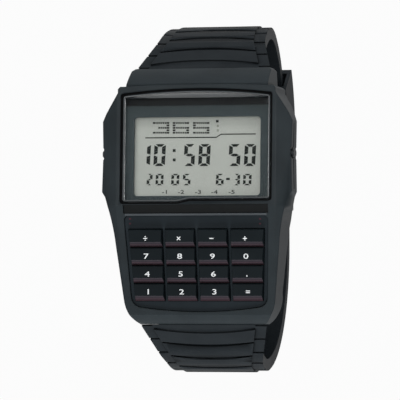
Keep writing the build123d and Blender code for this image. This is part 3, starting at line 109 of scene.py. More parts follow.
def flatFace(nodeName, direction):
    # Largest flat face of a node that looks about that way: its middle, its normal and two axes.
    # The triangles are grouped by their plane, and the group with most area is taken.
    mesh = nodes[nodeName].data
    count = len(mesh.polygons)
    normals = np.empty(count * 3)
    centres = np.empty(count * 3)
    areas = np.empty(count)
    mesh.polygons.foreach_get("normal", normals)
    mesh.polygons.foreach_get("center", centres)
    mesh.polygons.foreach_get("area", areas)
    normals = normals.reshape(-1, 3)
    centres = centres.reshape(-1, 3)
    facing = normals @ np.array(direction) > faceSet["likeness"]
    distances = (normals * centres).sum(1)[:, None]
    planes = np.round(np.column_stack((normals * faceSet["normalSteps"],
                                       distances * faceSet["planeSteps"])))
    best = None
    for plane in np.unique(planes[facing], axis=0):
        group = facing & (planes == plane).all(1)
        if best is None or areas[group].sum() > areas[best].sum():
            best = group
    weight = areas[best][:, None]
    normal = Vector((normals[best] * weight).sum(0)).normalized()
    middle = Vector((centres[best] * weight).sum(0) / weight.sum())
    across = Vector((1, 0, 0))
    along = normal.cross(across).normalized()
    return {"middle": middle, "normal": normal, "across": across, "along": along}


def facePoint(face, column, row):
    # Where the line of sight through a pixel meets a face, in the face's own two axes
    start, direction = pixelRay(column, row)
    distance = (face["middle"] - start).dot(face["normal"]) / direction.dot(face["normal"])
    offset = start + direction * distance - face["middle"]
    return offset.dot(face["across"]), offset.dot(face["along"])


def facePlace(face, lift):
    # Matrix that lays flat work, drawn in X and Y, on a face
    place = Matrix((face["across"], face["along"], face["normal"])).transposed().to_4x4()
    place.translation = face["middle"] + face["normal"] * lift
    return place


# Meshes
def addMesh(name, points, faces, material, body, smooth=False):
    mesh = bpy.data.meshes.new(name)
    mesh.from_pydata([tuple(point) for point in points], [], [tuple(face) for face in faces])
    mesh.validate()
    mesh.update()
    mesh.polygons.foreach_set("use_smooth", [smooth] * len(mesh.polygons))
    piece = bpy.data.objects.new(name, mesh)
    scene.collection.objects.link(piece)
    mesh.materials.append(material)
    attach(piece, body)
    return piece


def gridMesh(name, points, material, body):
    # Smooth mesh of a surface given as a grid of points, rows by columns
    rows, columns = points.shape[:2]
    index = np.arange(rows * columns).reshape(rows, columns)
    corners = (index[:-1, :-1], index[:-1, 1:], index[1:, 1:], index[1:, :-1])
    faces = np.stack(corners, axis=-1).reshape(-1, 4)
    return addMesh(name, points.reshape(-1, 3), faces, material, body, smooth=True)


def layFlat(points, face, lift):
    # Flat points in X and Y carried onto a face, all at once
    flat = np.asarray(points, dtype=float)
    full = np.column_stack((flat, np.zeros(len(flat)), np.ones(len(flat))))
    return (full @ np.array(facePlace(face, lift)).T)[:, :3]


mergeSet = {"distance": 1e-6, "flatAngle": 0.2}  # degrees between triangles that are joined


def smoothCopy(nodeName, pieceName, material, slotName, body, curveSet):
    # A merged copy of a CAD node with smooth curves, and with rounded edges where a bevel is set
    mesh = nodes[nodeName].data.copy()
    work = bmesh.new()
    work.from_mesh(mesh)
    bmesh.ops.remove_doubles(work, verts=work.verts, dist=mergeSet["distance"])
    bmesh.ops.dissolve_limit(work, angle_limit=radians(mergeSet["flatAngle"]),
                             verts=work.verts, edges=work.edges)
    work.to_mesh(mesh)
    work.free()
    mesh.materials.clear()
    mesh.materials.append(material)
    mesh.polygons.foreach_set("use_smooth", [True] * len(mesh.polygons))
    mesh.polygons.foreach_set("material_index", [0] * len(mesh.polygons))
    mesh.set_sharp_from_angle(angle=radians(curveSet["sharpAngle"]))
    piece = bpy.data.objects.new(pieceName, mesh)
    scene.collection.objects.link(piece)
    if "bevel" in curveSet:
        mesh.materials.append(curveSet["edgeMaterial"])
        rounding = piece.modifiers.new("rounding", "BEVEL")
        rounding.width = curveSet["bevel"]
        rounding.segments = curveSet["segments"]
        rounding.limit_method = "ANGLE"
        rounding.angle_limit = radians(curveSet["sharpAngle"])
        rounding.use_clamp_overlap = False
        rounding.harden_normals = True
        rounding.material = 1
    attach(piece, body)
    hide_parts(nodeName)
    return piece


# Nodes that the materials share
patternSet = {"noiseRoughness": 0.55, "tonePlaces": (0.3, 0.7)}


def startMaterial(name):
    material = bpy.data.materials.new(name)
    material.use_nodes = True
    tree = material.node_tree
    where = tree.nodes.new("ShaderNodeTexCoord")
    return material, tree, tree.nodes["Principled BSDF"], where.outputs["Object"]


def fill(tree, node, values):
    # Inputs of a node, by name or number, from plain values or from outputs of other nodes
    for key, value in values.items():
        if isinstance(value, bpy.types.NodeSocket):
            tree.links.new(value, node.inputs[key])
        else:
            node.inputs[key].default_value = value


def addNoise(tree, where, scale, detail=3.0):
    noise = tree.nodes.new("ShaderNodeTexNoise")
    fill(tree, noise, {"Vector": where, "Scale": scale, "Detail": detail,
                       "Roughness": patternSet["noiseRoughness"]})
    return noise.outputs["Fac"]


def addRamp(tree, value, stops):
    ramp = tree.nodes.new("ShaderNodeValToRGB")
    elements = ramp.color_ramp.elements  # a new ramp has two
    for index, (place, colour) in enumerate(stops):
        element = elements[index] if index < 2 else elements.new(place)
        element.position = place
        element.color = (*colour, 1)
    fill(tree, ramp, {"Fac": value})
    return ramp.outputs["Color"]


def addTones(tree, value, low, high):
    return addRamp(tree, value, tuple(zip(patternSet["tonePlaces"], (low, high))))


def addRange(tree, value, low, high):
    spread = tree.nodes.new("ShaderNodeMapRange")
    fill(tree, spread, {"Value": value, "To Min": low, "To Max": high})
    return spread.outputs["Result"]


def addMath(tree, operation, first, second):
    node = tree.nodes.new("ShaderNodeMath")
    node.operation = operation
    fill(tree, node, {0: first, 1: second})
    return node.outputs["Value"]


def addMix(tree, share, low, high, blendType="MIX"):
    mix = tree.nodes.new("ShaderNodeMix")
    mix.data_type = "RGBA"
    mix.blend_type = blendType
    fill(tree, mix, {"Factor": share, 6: low, 7: high})  # 6 and 7 are its two colours
    return mix.outputs[2]


def addBump(tree, shader, height, relief, strength, edge=0.0):
    # Fine relief from a height, over edges that catch the light as if rounded by the edge radius
    bump = tree.nodes.new("ShaderNodeBump")
    fill(tree, bump, {"Height": height, "Distance": relief, "Strength": strength})
    if edge:
        rim = tree.nodes.new("ShaderNodeBevel")
        rim.samples = 6
        fill(tree, rim, {"Radius": edge})
        fill(tree, bump, {"Normal": rim.outputs["Normal"]})
    fill(tree, shader, {"Normal": bump.outputs["Normal"]})


def toLinear(channels):
    # A colour as it looks on a screen, 0 to 255, turned into light by the screen's own curve
    shares = np.array(channels) / 255.0
    return tuple(np.where(shares <= 0.04045, shares / 12.92, ((shares + 0.055) / 1.055) ** 2.4))


# Moulded resin: faint cloudy tone, a fine even grain, painted shade that darkens the grooves and
# dims their gloss, and softly rounded edges
resinSet = {
    "cloud": 130.0, "cloudDetail": 4.0, "grainDetail": 2.0,
    "grooveShadeTone": 0.15,  # share of the dark tone that the painted shade leaves deep in a groove
    "grooveShadePower": 2.5,  # how fast the painted shade goes dark on the way down
    "grooveShadeSamples": 8,
    "lowRoughness": -0.06, "highRoughness": 0.08,  # added to a material's own roughness
    "relief": 0.000012, "strength": 0.6,
}


def resinMaterial(name, dark, light, roughness, specular, grain=5200.0, edge=0.00018,
                  groove=0.0009):
    material, tree, shader, where = startMaterial(name)
    cloud = addNoise(tree, where, resinSet["cloud"], resinSet["cloudDetail"])
    fine = addNoise(tree, where, grain, resinSet["grainDetail"])
    # painted shade: ambient occlusion darkens the base colour and the gloss in the piece's own
    # grooves and hollows
    openness = tree.nodes.new("ShaderNodeAmbientOcclusion")
    openness.samples = resinSet["grooveShadeSamples"]
    openness.only_local = True
    fill(tree, openness, {"Distance": groove})
    shade = addMath(tree, "POWER", openness.outputs["AO"], resinSet["grooveShadePower"])
    paintedGrooveShade = (*(channel * resinSet["grooveShadeTone"] for channel in toLinear(dark)), 1)
    tones = addTones(tree, cloud, toLinear(dark), toLinear(light))
    fill(tree, shader, {
        "Base Color": addMix(tree, shade, paintedGrooveShade, tones),
        "Roughness": addRange(tree, fine, roughness + resinSet["lowRoughness"],
                              roughness + resinSet["highRoughness"]),
        "Specular IOR Level": addRange(tree, shade, 0.0, specular),
    })
    addBump(tree, shader, fine, resinSet["relief"], resinSet["strength"], edge)
    return material


# Steel or brass with fine drawn lines: noise stretched along X
metalSet = {
    "stretch": (1.0, 14.0, 14.0), "lines": 900.0, "lineDetail": 4.0,
    "lineTone": 0.88,  # share of the colour that a line keeps
    "lowRoughness": -0.05, "highRoughness": 0.1,
    "relief": 0.000006, "strength": 0.5, "edge": 0.00008,
}


def metalMaterial(name, colour, roughness=0.28):
    material, tree, shader, where = startMaterial(name)
    mapping = tree.nodes.new("ShaderNodeMapping")
    fill(tree, mapping, {"Vector": where, "Scale": metalSet["stretch"]})
    lines = addNoise(tree, mapping.outputs["Vector"], metalSet["lines"], metalSet["lineDetail"])
    low = tuple(channel * metalSet["lineTone"] for channel in colour)
    fill(tree, shader, {
        "Base Color": addTones(tree, lines, low, colour),
        "Roughness": addRange(tree, lines, roughness + metalSet["lowRoughness"],
                              roughness + metalSet["highRoughness"]),
        "Metallic": 1.0,
    })
    addBump(tree, shader, lines, metalSet["relief"], metalSet["strength"], metalSet["edge"])
    return material


# Smooth plastic, rubber or print: two close tones in a soft noise and a faint relief
plainSet = {"lowRoughness": -0.04, "highRoughness": 0.06, "relief": 0.000006, "strength": 0.4}


def plainMaterial(name, low, high, roughness=0.5, specular=0.4, scale=900.0):
    material, tree, shader, where = startMaterial(name)
    noise = addNoise(tree, where, scale)
    fill(tree, shader, {
        "Base Color": addTones(tree, noise, toLinear(low), toLinear(high)),
        "Roughness": addRange(tree, noise, roughness + plainSet["lowRoughness"],
                              roughness + plainSet["highRoughness"]),
        "Specular IOR Level": specular,
    })
    addBump(tree, shader, noise, plainSet["relief"], plainSet["strength"])
    return material


# Lower slope of a key: grey-violet bands and a thin red line, from the slope's top to its foot;
# the lighter band at the very top is a painted highlight along the slope's upper edge
slopeSet = {
    # the first, lighter stop is a painted highlight along the upper edge
    "bands": ((0.0, (62, 59, 64)), (0.14, (46, 42, 47)), (0.42, (44, 40, 45)), (0.5, (62, 48, 54)),
              (0.6, (44, 39, 44)), (0.82, (46, 36, 41)), (1.0, (48, 32, 37))),
    "grain": 7000.0, "soft": 900.0, "detail": 2.0,
    "softShare": 0.25,  # how much of the soft noise is multiplied in
    "roughness": (0.36, 0.5), "specular": 0.06,
    "relief": 0.000012, "strength": 0.5, "edge": 0.0001,
}


def keyEdgeMaterial():
    material, tree, shader, where = startMaterial("keyEdge")
    split = tree.nodes.new("ShaderNodeSeparateXYZ")
    fill(tree, split, {"Vector": where.node.outputs["UV"]})
    bands = addRamp(tree, split.outputs["Y"],
                    [(place, toLinear(colour)) for place, colour in slopeSet["bands"]])
    fine = addNoise(tree, where, slopeSet["grain"], slopeSet["detail"])
    soft = addNoise(tree, where, slopeSet["soft"], slopeSet["detail"])
    fill(tree, shader, {
        "Base Color": addMix(tree, slopeSet["softShare"], bands, soft, "MULTIPLY"),
        "Roughness": addRange(tree, fine, *slopeSet["roughness"]),
        "Specular IOR Level": slopeSet["specular"],
    })
    addBump(tree, shader, fine, slopeSet["relief"], slopeSet["strength"], slopeSet["edge"])
    return material


# Mineral glass: clear, polished, and open to the light that falls on the display
glassSet = {
    "smear": 220.0, "smearDetail": 2.0, "tones": ((0.93, 0.95, 0.95), (0.98, 0.99, 0.99)),
    "roughness": (0.02, 0.05),
    "bending": 1.12,  # lower than a real glass's, so that the display keeps its contrast
}


def glassMaterial():
    material, tree, shader, where = startMaterial("watchGlass")
    smear = addNoise(tree, where, glassSet["smear"], glassSet["smearDetail"])
    path = tree.nodes.new("ShaderNodeLightPath")
    # light on its way to the display and back isn't held up
    light = addMath(tree, "MAXIMUM", path.outputs["Is Shadow Ray"], path.outputs["Is Diffuse Ray"])
    fill(tree, shader, {
        "Base Color": addTones(tree, smear, *glassSet["tones"]),
        "Roughness": addRange(tree, smear, *glassSet["roughness"]),
        "Transmission Weight": 1.0,
        "IOR": glassSet["bending"],
        "Alpha": addMath(tree, "SUBTRACT", 1.0, light),
    })
    return material


# Printed film under the glass: a black band above a dark grey field
borderSet = {
    "bandRow": 105.7, "bandColumn": 195.0,  # pixel where the band ends, at the film's middle
    "grain": 2500.0, "detail": 2.0,
    "field": ((44, 52, 54), (52, 60, 62)), "band": ((5, 7, 9), (9, 11, 13)),
    "roughness": 0.45, "specular": 0.1, "relief": 0.000004, "strength": 0.3,
}


def borderMaterial(bandEdge):
    material, tree, shader, where = startMaterial("borderPrint")
    split = tree.nodes.new("ShaderNodeSeparateXYZ")
    fill(tree, split, {"Vector": where})
    above = addMath(tree, "GREATER_THAN", split.outputs["Y"], bandEdge)
    grain = addNoise(tree, where, borderSet["grain"], borderSet["detail"])
    field = addTones(tree, grain, *map(toLinear, borderSet["field"]))
    band = addTones(tree, grain, *map(toLinear, borderSet["band"]))
    fill(tree, shader, {
        "Base Color": addMix(tree, above, field, band),
        "Roughness": borderSet["roughness"],
        "Specular IOR Level": borderSet["specular"],
    })
    addBump(tree, shader, grain, borderSet["relief"], borderSet["strength"])
    return material


# Liquid crystal cell: grey-green, with a very fine even grain
cellSet = {
    "grain": 3800.0, "detail": 2.0, "tones": ((158, 161, 155), (166, 169, 163)),
    "roughness": 0.6, "specular": 0.06, "relief": 0.000003, "strength": 0.3,
}


def displayMaterial():
    material, tree, shader, where = startMaterial("displayCell")
    grain = addNoise(tree, where, cellSet["grain"], cellSet["detail"])
    fill(tree, shader, {
        "Base Color": addTones(tree, grain, *map(toLinear, cellSet["tones"])),
        "Roughness": cellSet["roughness"],
        "Specular IOR Level": cellSet["specular"],
    })
    addBump(tree, shader, grain, cellSet["relief"], cellSet["strength"])
    return material


caseResin = resinMaterial("caseResin", (31, 36, 39), (38, 44, 47), 0.36, 0.13, edge=0.00035)
strapResin = resinMaterial("strapResin", (24, 28, 31), (31, 35, 38), 0.36, 0.09, edge=0.0002,
                           groove=0.0014)
panelPlastic = resinMaterial("panelPlastic", (24, 30, 34), (30, 36, 40), 0.4, 0.1, 7000.0, 0.0001)
keyPlastic = resinMaterial("keyPlastic", (15, 20, 23), (20, 26, 29), 0.36, 0.07, 7000.0, 0.0001)
keyEdge = keyEdgeMaterial()
modulePlastic = plainMaterial("modulePlastic", (24, 24, 24), (32, 32, 32))
sealRubber = plainMaterial("sealRubber", (5, 5, 6), (9, 9, 10), 0.6, 0.05)
boardLacquer = plainMaterial("boardLacquer", (20, 74, 44), (28, 90, 54), 0.35)
cableFilm = plainMaterial("cableFilm", (190, 120, 50), (205, 135, 62), 0.3)
lightPanel = plainMaterial("lightPanel", (200, 215, 205), (215, 228, 218), 0.4)
steel = metalMaterial("steel", (0.55, 0.55, 0.54))
buttonSteel = metalMaterial("buttonSteel", (0.07, 0.075, 0.08), 0.35)
brass = metalMaterial("brass", (0.72, 0.55, 0.24))
labelInk = plainMaterial("labelInk", (205, 208, 210), (222, 225, 226))
displayInk = plainMaterial("displayInk", (24, 27, 26), (34, 37, 35), 0.6, 0.1)
paleInk = plainMaterial("paleInk", (120, 124, 116), (128, 132, 124), 0.6, 0.1)
markRed = plainMaterial("markRed", (62, 36, 43), (70, 41, 48), 0.5, 0.1)
blackGloss = plainMaterial("blackGloss", (8, 11, 12), (12, 15, 16), 0.2, 0.2, 1200.0)
# the lip's resin is a lighter copy of the case resin: painted highlight along the lip
lipHighlightResin = resinMaterial("lipHighlightResin", (50, 55, 59), (58, 63, 67), 0.34, 0.4)
# opaque rounded edge of the glass, its grey tone lightened to brighten the rim lines: partly the
# edge's own tone, partly painted highlight
glassEdge = plainMaterial("glassEdge", (48, 53, 56), (56, 61, 64), 0.18, 1.0, 1500.0)
facetGloss = plainMaterial("facetGloss", (26, 30, 33), (32, 36, 39), 0.22, 1.0, 1500.0)
watchGlass = glassMaterial()
displayCell = displayMaterial()
borderFace = flatFace("display_border", faceSet["display"])
bandRise = facePoint(borderFace, borderSet["bandColumn"], borderSet["bandRow"])[1]
borderPrint = borderMaterial((borderFace["middle"] + borderFace["along"] * bandRise).y)
print("materials made:", len(bpy.data.materials))

# CAD nodes that keep their own mesh
plainDress = {
    "glass_seal": sealRubber, "contact_strip_upper": sealRubber,
    "contact_strip_lower": sealRubber, "case_back_seal": sealRubber,
    "keypad_membrane": sealRubber, "backlight_panel": lightPanel,
    "module_frame": modulePlastic, "chip_resin": modulePlastic, "circuit_board": boardLacquer,
    "keypad_board": boardLacquer, "keypad_cable": cableFilm, "buzzer_disc": brass,
    "quartz_crystal": steel, "battery": steel, "battery_clip": steel, "case_back": steel,
    "case_back_screws": steel, "spring_bar_upper": steel, "spring_bar_lower": steel,
    "buckle_bar": steel, "display_panel": displayCell, "display_border": borderPrint,
}
for side in ("left", "right"):
    plainDress["side_button_" + side] = buttonSteel
    plainDress["button_clip_" + side] = steel
    plainDress["button_spring_" + side] = steel
    plainDress["button_seal_" + side] = sealRubber
    plainDress["button_contact_" + side] = brass
for nodeName, material in plainDress.items():
    nodes[nodeName].data.materials.clear()
    nodes[nodeName].data.materials.append(material)
print("nodes dressed:", len(plainDress))

# Rigid pieces with their curves smoothed, and the glass's edges rounded
mouldedCurves = {"sharpAngle": 24.0}  # degrees from which an edge stays sharp
glassCurves = {"sharpAngle": 30.0, "bevel": 0.00035, "segments": 4, "edgeMaterial": glassEdge}
smoothPieces = [
    ("case_body", "caseShell", caseResin, "case_resin", "watch", mouldedCurves),
    ("strap_buckle_half", "strapBuckleHalf", strapResin, "strap_resin", "watch", mouldedCurves),
    ("strap_hole_half", "strapHoleHalf", strapResin, "strap_resin", "watch", mouldedCurves),
    ("strap_keeper", "strapKeeper", strapResin, "strap_resin", "keeper", mouldedCurves),
    ("keypad_panel", "keypadPanel", panelPlastic, "panel_plastic", "watch", mouldedCurves),
    ("display_glass", "displayGlass", watchGlass, "clear_glass", "watch", glassCurves),
    ("buckle_frame", "buckleFrame", steel, "steel", "buckle", mouldedCurves),
    ("buckle_tongue", "buckleTongue", steel, "steel", "tongue", mouldedCurves),
]
for pieceRow in smoothPieces:
    smoothCopy(*pieceRow)
print("rigid pieces smoothed:", len(smoothPieces))

# Ledge of the case in front of the display's lower part: its edge goes down the display plane,
# to just behind the window's lower edge
ledgeSet = {
    "along": (2.2 * millimetre, 2.45 * millimetre),  # where the edge is, up from the ridge
    "edge": 1.8 * millimetre,  # where it goes
    "height": 1.5 * millimetre,  # points higher over the display aren't the ledge's
}
displayFace = flatFace("display_panel", faceSet["display"])


def drawBackLedge(piece):
    points = np.empty(len(piece.data.vertices) * 3)
    piece.data.vertices.foreach_get("co", points)
    points = points.reshape(-1, 3)
    upwards = np.array(displayFace["along"])
    along = (points - np.array(ridgePoint)) @ upwards
    height = (points - np.array(displayFace["middle"])) @ np.array(displayFace["normal"])
    low, high = ledgeSet["along"]
    ledge = (along > low) & (along < high) & (height > 0) & (height < ledgeSet["height"])
    points[ledge] += np.outer(ledgeSet["edge"] - along[ledge], upwards)
    piece.data.vertices.foreach_set("co", points.ravel())
    piece.data.update()


drawBackLedge(bpy.data.objects["caseShell"])

# Sloping rim along the glass's arched top
facetSet = {
    "halfWidth": 13.9 * millimetre,
    "inner": 20.3 * millimetre,  # straight lower line, up from the ridge
    "outer": 20.5 * millimetre,  # upper line at the sides
    "crown": 0.9 * millimetre,  # rise of the upper line at the middle
    "height": -0.19 * millimetre,
    "depth": 0.2 * millimetre,
    "points": (60, 10),  # across and along
}


def facetSurface():
    # Rim in the display plane: the upper line is a parabola over the straight lower line, and the
    # height falls fast at the lower line and levels out at the upper one, as twice the way less
    # its square
    side = np.linspace(-1, 1, facetSet["points"][0])
    way = np.linspace(0, 1, facetSet["points"][1])
    outer = facetSet["outer"] + facetSet["crown"] * (1 - side ** 2)
    up = facetSet["inner"] + np.outer(way, outer - facetSet["inner"])
    fall = facetSet["depth"] * (2 * way - way ** 2)[:, None]
    height = facetSet["height"] - fall + np.zeros_like(up)
    x = side[None, :] * facetSet["halfWidth"] + np.zeros_like(up)
    return (np.array(ridgePoint) + x[..., None] * np.array(displayFace["across"])
            + up[..., None] * np.array(displayFace["along"])
            + height[..., None] * np.array(displayFace["normal"]))


gridMesh("glassFacet", facetSurface(), facetGloss, "watch")

# Recess between glass and keypad: a glossy black plate, and the rounded lip under it, in a lighter
# resin that paints a highlight along it
recessSet = {
    "tilt": 12.0,  # degrees, keypad leans towards six o'clock
    "plateHalfWidth": 13.84 * millimetre,
    "plate": (-1.5 * millimetre, 0.1 * millimetre),  # lower and upper edge, from the ridge
    "plateDepth": 0.33 * millimetre,
    "lipHalfWidth": 13.6 * millimetre,
    "lip": (-1.98 * millimetre, -1.6 * millimetre),
    "lipHeight": 0.05 * millimetre,
    "endPower": 40,  # the higher, the nearer to its ends a bar keeps its height
    "points": (40, 12),  # across and along
}
recessTilt = radians(recessSet["tilt"])
keypadFace = {
    "middle": ridgePoint,
    "across": Vector((1, 0, 0)),
    "along": Vector((0, cos(recessTilt), sin(recessTilt))),
    "normal": Vector((0, -sin(recessTilt), cos(recessTilt))),
}


def barSurface(halfWidth, low, high, height, base):
    # A low rounded bar: its height follows half a sine wave from its lower to its upper edge, and
    # falls to the base near its two ends as the root of one less a high power of the way out
    u = np.linspace(-1, 1, recessSet["points"][0])[None, :]
    v = np.linspace(0, 1, recessSet["points"][1])[:, None]
    x = np.sin(u * np.pi / 2) * halfWidth
    ends = np.sqrt(np.clip(1 - (x / halfWidth) ** recessSet["endPower"], 0, 1))
    y = low + (high - low) * (1 - np.cos(v * np.pi)) / 2
    z = base + height * np.sin(v * np.pi) * ends
    flat = np.stack(np.broadcast_arrays(x, y, z), axis=-1)
    axes = np.array((keypadFace["across"], keypadFace["along"], keypadFace["normal"]))
    return flat @ axes + np.array(keypadFace["middle"])


plateSurface = barSurface(recessSet["plateHalfWidth"], *recessSet["plate"], 0.0,
                          -recessSet["plateDepth"])
gridMesh("recessPlate", plateSurface, blackGloss, "watch")
lipSurface = barSurface(recessSet["lipHalfWidth"], *recessSet["lip"], recessSet["lipHeight"], 0.0)
gridMesh("recessLip", lipSurface, lipHighlightResin, "watch")
print("glass rim and recess made")

# Flat outlines for the labels and figures
textSet = {
    "digitShare": 0.72,  # height of a digit as a share of the text's size
    "widen": 1.5,
    "bold": 0.00001,
    "resolution": 3,
}
signSet = {  # all as shares of the label's height
    "stroke": 0.17, "wide": 0.8,
    "divideDot": 0.204, "dividePlace": 0.32, "equalsPlace": 0.16,
    "pointDot": 0.221, "pointPlace": 0.36,
}
crossSet = {"wide": 1.1, "armPlace": 0.31, "armLength": 0.48}  # as shares of a sign's width


def textPoints(text, height):
    # Flat outline of a text as a mesh in X and Y, centred on its own middle
    curve = bpy.data.curves.new("lettering", "FONT")
    curve.body = text
    curve.size = height / textSet["digitShare"]
    curve.offset = textSet["bold"]
    curve.resolution_u = textSet["resolution"]
    holder = bpy.data.objects.new("lettering", curve)
    scene.collection.objects.link(holder)
    bpy.context.view_layer.update()
    evaluated = holder.evaluated_get(bpy.context.evaluated_depsgraph_get())
    mesh = bpy.data.meshes.new_from_object(evaluated)
    bpy.data.objects.remove(holder)
    points = np.empty(len(mesh.vertices) * 3)
    mesh.vertices.foreach_get("co", points)
    points = points.reshape(-1, 3)[:, :2]
    faces = [tuple(polygon.vertices) for polygon in mesh.polygons]
    bpy.data.meshes.remove(mesh)
    middle = (points.min(0) + points.max(0)) / 2
    return (points - middle) * np.array((textSet["widen"], 1.0)), faces


def barPoints(bars):
    # Rectangles given by their middle and size, as one flat mesh
    corners = np.array(((-0.5, -0.5), (0.5, -0.5), (0.5, 0.5), (-0.5, 0.5)))
    bars = np.asarray(bars, dtype=float)
    points = bars[:, None, :2] + corners[None] * bars[:, None, 2:]
    faces = np.arange(len(bars) * 4).reshape(-1, 4)
    return points.reshape(-1, 2), faces


def pairedBars(place, width, height):
    # One bar above the middle and one below it
    return [(0, place, width, height), (0, -place, width, height)]


def signPoints(name, height):
    # The calculator's signs, drawn from bars
    stroke = height * signSet["stroke"]
    wide = height * signSet["wide"]
    level = [(0, 0, wide, stroke)]
    if name == "minus":
        return barPoints(level)
    if name == "plus":
        return barPoints(level + pairedBars(wide / 4 + stroke / 4, stroke, wide / 2 - stroke / 2))
    if name == "divide":
        dot = height * signSet["divideDot"]
        return barPoints(level + pairedBars(height * signSet["dividePlace"], dot, dot))
    if name == "equals":
        return barPoints(pairedBars(height * signSet["equalsPlace"], wide, stroke))
    if name == "point":
        dot = height * signSet["pointDot"]
        return barPoints([(0, -height * signSet["pointPlace"], dot, dot)])
    bars, faces = barPoints([(0, 0, wide * crossSet["wide"], stroke)]
                            + pairedBars(wide * crossSet["armPlace"], stroke,
                                         wide * crossSet["armLength"]))
    eighth = radians(45)  # a cross is a plus turned by an eighth
    turned = np.array(((cos(eighth), sin(eighth)), (-sin(eighth), cos(eighth))))
    return bars @ turned, faces


# Keys
keyRows = [["divide", "multiply", "minus", "plus"], ["7", "8", "9", "0"],
           ["4", "5", "6", "point"], ["1", "2", "3", "equals"]]
keyCurves = {"sharpAngle": 14.0}
keySet = {
    "labelHeight": 1.0 * millimetre,
    "lift": 0.012 * millimetre,
    "firstRow": 238.4,  # pixel rows of the labels
    "rowStep": 17.8,
    "columns": (146.2, 179.6, 212.4, 245.9),  # pixel columns of the second row's labels
    "columnStep": 1.0,
    "slopeNormal": (-0.6, 0.2),  # most Y and least Z of the normals on the lower slope
}


def mapSlope(mesh, chosen):
    # UV map whose V runs from 0 at the top of the chosen faces to 1 at their foot, by height
    heights = np.empty(len(mesh.vertices) * 3)
    mesh.vertices.foreach_get("co", heights)
    heights = heights.reshape(-1, 3)[:, 2]
    corners = np.empty(len(mesh.loops), dtype=int)
    mesh.loops.foreach_get("vertex_index", corners)
    loopCounts = [polygon.loop_total for polygon in mesh.polygons]
    owners = np.repeat(np.arange(len(mesh.polygons)), loopCounts)
    used = heights[corners[chosen[owners]]]
    share = (used.max() - heights[corners]) / (used.max() - used.min())
    layer = mesh.uv_layers.new(name="slope")
    layer.data.foreach_set("uv", np.column_stack((np.full(len(share), 0.5), share)).ravel())


def makeKey(name, row, column):
    body = "moving_key_" + name
    piece = smoothCopy("key_" + name, "keyCap_" + name, keyPlastic, "key_plastic", body, keyCurves)
    piece.data.materials.append(keyEdge)
    slopes = np.empty(len(piece.data.polygons) * 3)
    piece.data.polygons.foreach_get("normal", slopes)
    slopes = slopes.reshape(-1, 3)
    mostY, leastZ = keySet["slopeNormal"]
    lower = (slopes[:, 1] < mostY) & (slopes[:, 2] > leastZ)
    piece.data.polygons.foreach_set("material_index", lower.astype(int))
    mapSlope(piece.data, lower)
    makePoints = textPoints if name.isdigit() else signPoints
    points, faces = makePoints(name, keySet["labelHeight"])
    face = flatFace("key_" + name, faceSet["key"])
    labelRow = keySet["firstRow"] + row * keySet["rowStep"]
    labelColumn = keySet["columns"][column] + (row - 1) * keySet["columnStep"]
    points = points + np.array(facePoint(face, labelColumn, labelRow))
    addMesh("keyLabel_" + name, layFlat(points, face, keySet["lift"]), faces, labelInk,
            body)


for row, names in enumerate(keyRows):
    for column, name in enumerate(names):
        makeKey(name, row, column)
print("keys made:", sum(len(names) for names in keyRows))

# Display: every figure is placed by its pixels in the photo, on the face of the display panel
displaySet = {
    "lift": 0.02 * millimetre,
    "slant": 2.5,  # degrees
    "gap": 0.3,  # between segments; this and all below in pixels
    "mainRows": (144.1, 166.2),
    "mainDigits": (("1", 146.4, 157.9), ("0", 153.5, 166.2), ("5", 183.6, 195.7),
                   ("8", 198.2, 211.0), ("5", 228.4, 241.2), ("0", 243.9, 256.4)),
    "mainStrokes": (3.8, 2.7, 1.1),  # widths of upright and level segments, and the cut corner
    "colonColumn": 174.4, "colonRows": (150.6, 160.0), "colonHalf": 1.45,
    "smallRows": (173.9, 185.4),
    "smallDigits": (("2", 146.7, 152.9), ("0", 155.6, 163.9), ("0", 171.2, 179.7),
                    ("5", 182.7, 191.0), ("6", 215.9, 224.2), ("3", 233.4, 240.4),
                    ("0", 243.0, 251.9)),
    "smallStrokes": (2.7, 1.5, 0.9),
    "dash": (226.3, 230.0), "dashRow": 179.0, "dashHalf": 1.1,
    "squares": ((216.2, 120.0, 218.8, 122.6),),
    "paleSquares": ((217.0, 124.9, 219.0, 127.2), (217.0, 129.4, 219.0, 131.7)),
}
segmentsOf = {"0": "abcdef", "1": "bc", "2": "abged", "3": "abgcd", "5": "afgcd", "6": "afgedc",
              "8": "abcdefg"}
pointShare = 0.3  # how far in the middle segment's points lie, as a share of an upright's width


def segmentPoints(digit, width, height, upright, level, corner, gap):
    # One seven-segment figure. Outer edges of the segments are long and inner ones short, their
    # ends are cut along the line from the outer corner to the inner one, and the outer corners
    # are cut off.
    half = height / 2
    inner = width - upright
    tip = upright * pointShare
    segments = {
        "a": ((corner + gap, height), (width - corner - gap, height),
              (inner - gap, height - level), (upright + gap, height - level)),
        "f": ((0, height - corner), (0, half + gap), (upright, half + level / 2 + gap),
              (upright, height - level - gap)),
        "e": ((0, corner), (0, half - gap), (upright, half - level / 2 - gap),
              (upright, level + gap)),
        "g": ((tip + gap, half), (upright + gap, half + level / 2),
              (inner - gap, half + level / 2), (width - tip - gap, half),
              (inner - gap, half - level / 2), (upright + gap, half - level / 2)),
    }
    segments["b"] = [(width - x, y) for x, y in segments["f"]]
    segments["c"] = [(width - x, y) for x, y in segments["e"]]
    segments["d"] = [(x, height - y) for x, y in segments["a"]]
    points, faces = [], []
    for letter in segmentsOf[digit]:
        faces.append(tuple(range(len(points), len(points) + len(segments[letter]))))
        points += segments[letter]
    return np.array(points), faces


